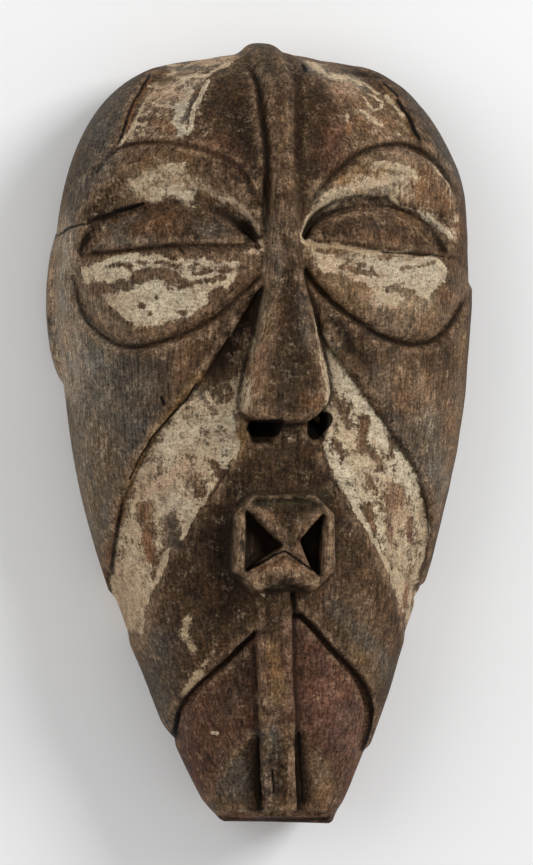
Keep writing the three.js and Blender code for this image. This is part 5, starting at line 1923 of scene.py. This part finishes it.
def add_soot_shade_and_lines(shader, noises, colour):
    """Soot and painted shade in the cuts and hollows, and nearly black lines, some of them painted shade in
    nostrils, notch and deep grooves.
    """
    # soot and painted shade darken the cuts and hollows
    cut_soot_and_shade = shader.times(shader.attribute("cut_soot_and_shade"), shader.ramp(noises["blotch"], *SOOT_AND_SHADE_LIGHT))
    colour = shader.mix_colour(shader.math("MINIMUM", cut_soot_and_shade, SOOT_AND_SHADE_LIMIT), colour, SOOT_AND_SHADE_COLOUR)
    lines = shader.ramp(shader.swing(shader.attribute("lines"), noises["fleck"], LINE_RAGGEDNESS), 0.3, 0.8)
    return shader.mix_colour(shader.times(lines, LINE_SHARE), colour, LINE_COLOUR)


def set_relief(shader, noises, pale):
    """Fine relief of the grain, the pores and the edges of the paint."""
    relief = shader.times(noises["fleck"], FLECK_RELIEF)
    parts = ((noises["grain"], GRAIN_RELIEF), (pale, PALE_RELIEF), (noises["patch"], PATCH_RELIEF))
    for value, amount in parts:
        relief = shader.add_times(relief, value, amount)
    bump = shader.nodes.new("ShaderNodeBump")
    bump.inputs["Strength"].default_value = RELIEF_STRENGTH
    bump.inputs["Distance"].default_value = RELIEF_MM * MM
    shader.links.new(relief, bump.inputs["Height"])
    shader.links.new(bump.outputs["Normal"], shader.surface.inputs["Normal"])


def carved_wood():
    """Old smoked wood with worn pale paint, soot and painted shade in the cuts, and rubbed edges that also
    carry painted highlights.
    """
    shader = Shader("carved_wood")
    noises = {name: shader.noise(*values) for name, values in SURFACE_NOISES.items()}
    ragged, pale = paint_edges(shader, noises)
    film = shader.ramp(ragged, *FILM_LIMITS)
    streak = shader.ramp(noises["streak"], *STREAK_LIMITS)
    pale_share = shader.math("MAXIMUM", shader.times(pale, streak), film)
    colour = shader.mix_colour(pale_share, wood_colour(shader, noises), paint_colour(shader, noises))
    shader.feed(shader.surface.inputs["Base Color"], add_soot_shade_and_lines(shader, noises, colour))
    shader.surface.inputs["Specular IOR Level"].default_value = WOOD_GLOSS
    rough = shader.ramp(noises["blotch"], *WOOD_ROUGHNESS)
    rough = shader.math("MAXIMUM", rough, shader.times(pale, PALE_ROUGHNESS))
    shader.feed(shader.surface.inputs["Roughness"], rough)
    set_relief(shader, noises, pale)
    return shader.material


def floor_material():
    material = bpy.data.materials.new("floor")
    material.use_nodes = True
    surface = material.node_tree.nodes["Principled BSDF"]
    surface.inputs["Base Color"].default_value = (*FLOOR_COLOUR, 1.0)
    surface.inputs["Roughness"].default_value = FLOOR_ROUGHNESS
    return material


# Camera, floor and lights

def make_camera():
    """Looks down on the face, turned towards its left side, with the photograph's framing."""
    data = bpy.data.cameras.new("camera")
    data.sensor_fit = "VERTICAL"
    data.sensor_height = SENSOR_HEIGHT
    data.lens = SENSOR_HEIGHT * VIEW_DISTANCE / (PHOTO_SIZE[1] * PIXEL_MM)
    data.clip_start, data.clip_end = CLIP_RANGE
    camera = bpy.data.objects.new("camera", data)
    bpy.context.scene.collection.objects.link(camera)
    turn = math.radians(VIEW_TURN)
    right = Vector((math.cos(turn), 0.0, math.sin(turn)))
    back = Vector((-math.sin(turn), 0.0, math.cos(turn)))
    up = Vector((0.0, 1.0, 0.0))
    shift_x = (PHOTO_SIZE[0] / 2 - VIEW_CENTRE_PIXEL[0]) * PIXEL_MM
    shift_y = (VIEW_CENTRE_PIXEL[1] - PHOTO_SIZE[1] / 2) * PIXEL_MM
    place = Vector((0.0, 0.0, WIDEST_Z)) + back * VIEW_DISTANCE + right * shift_x + up * shift_y
    turned = Matrix((right, up, back)).transposed().to_4x4()
    camera.matrix_world = Matrix.Translation(place * MM) @ turned
    bpy.context.scene.camera = camera


def make_floor():
    mesh = bpy.data.meshes.new("floor")
    corners = [(-1, -1), (1, -1), (1, 1), (-1, 1)]
    mesh.from_pydata([(x * FLOOR_REACH, y * FLOOR_REACH, 0) for x, y in corners], [], [(0, 1, 2, 3)])
    floor = bpy.data.objects.new("floor", mesh)
    bpy.context.scene.collection.objects.link(floor)
    floor.data.materials.append(floor_material())


def make_area_light(name, direction, distance, size, brightness):
    """A soft square light that gives a white surface facing it the stated brightness."""
    data = bpy.data.lights.new(name, "AREA")
    data.size = size
    data.energy = brightness * (math.pi * distance) ** 2
    light = bpy.data.objects.new(name, data)
    place = Vector(direction).normalized() * distance
    light.location = place + Vector((0.0, 0.0, LIGHT_AIM_Z))
    light.rotation_euler = place.to_track_quat("Z", "Y").to_euler()
    bpy.context.scene.collection.objects.link(light)


def make_lights():
    make_area_light("key", *KEY_LIGHT)
    make_area_light("fill", *FILL_LIGHT)
    world = bpy.data.worlds.new("studio")
    world.use_nodes = True
    world.node_tree.nodes["Background"].inputs["Color"].default_value = (1.0, 1.0, 1.0, 1.0)
    world.node_tree.nodes["Background"].inputs["Strength"].default_value = SKY_BRIGHTNESS
    bpy.context.scene.world = world
    bpy.context.scene.view_settings.view_transform = "Standard"


make_camera()
make_floor()
make_lights()
maps = draw_maps()
paint_maps(maps)
mask = make_mask(maps)
mask.data.materials.append(carved_wood())
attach(mask, "root")
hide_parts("mask")
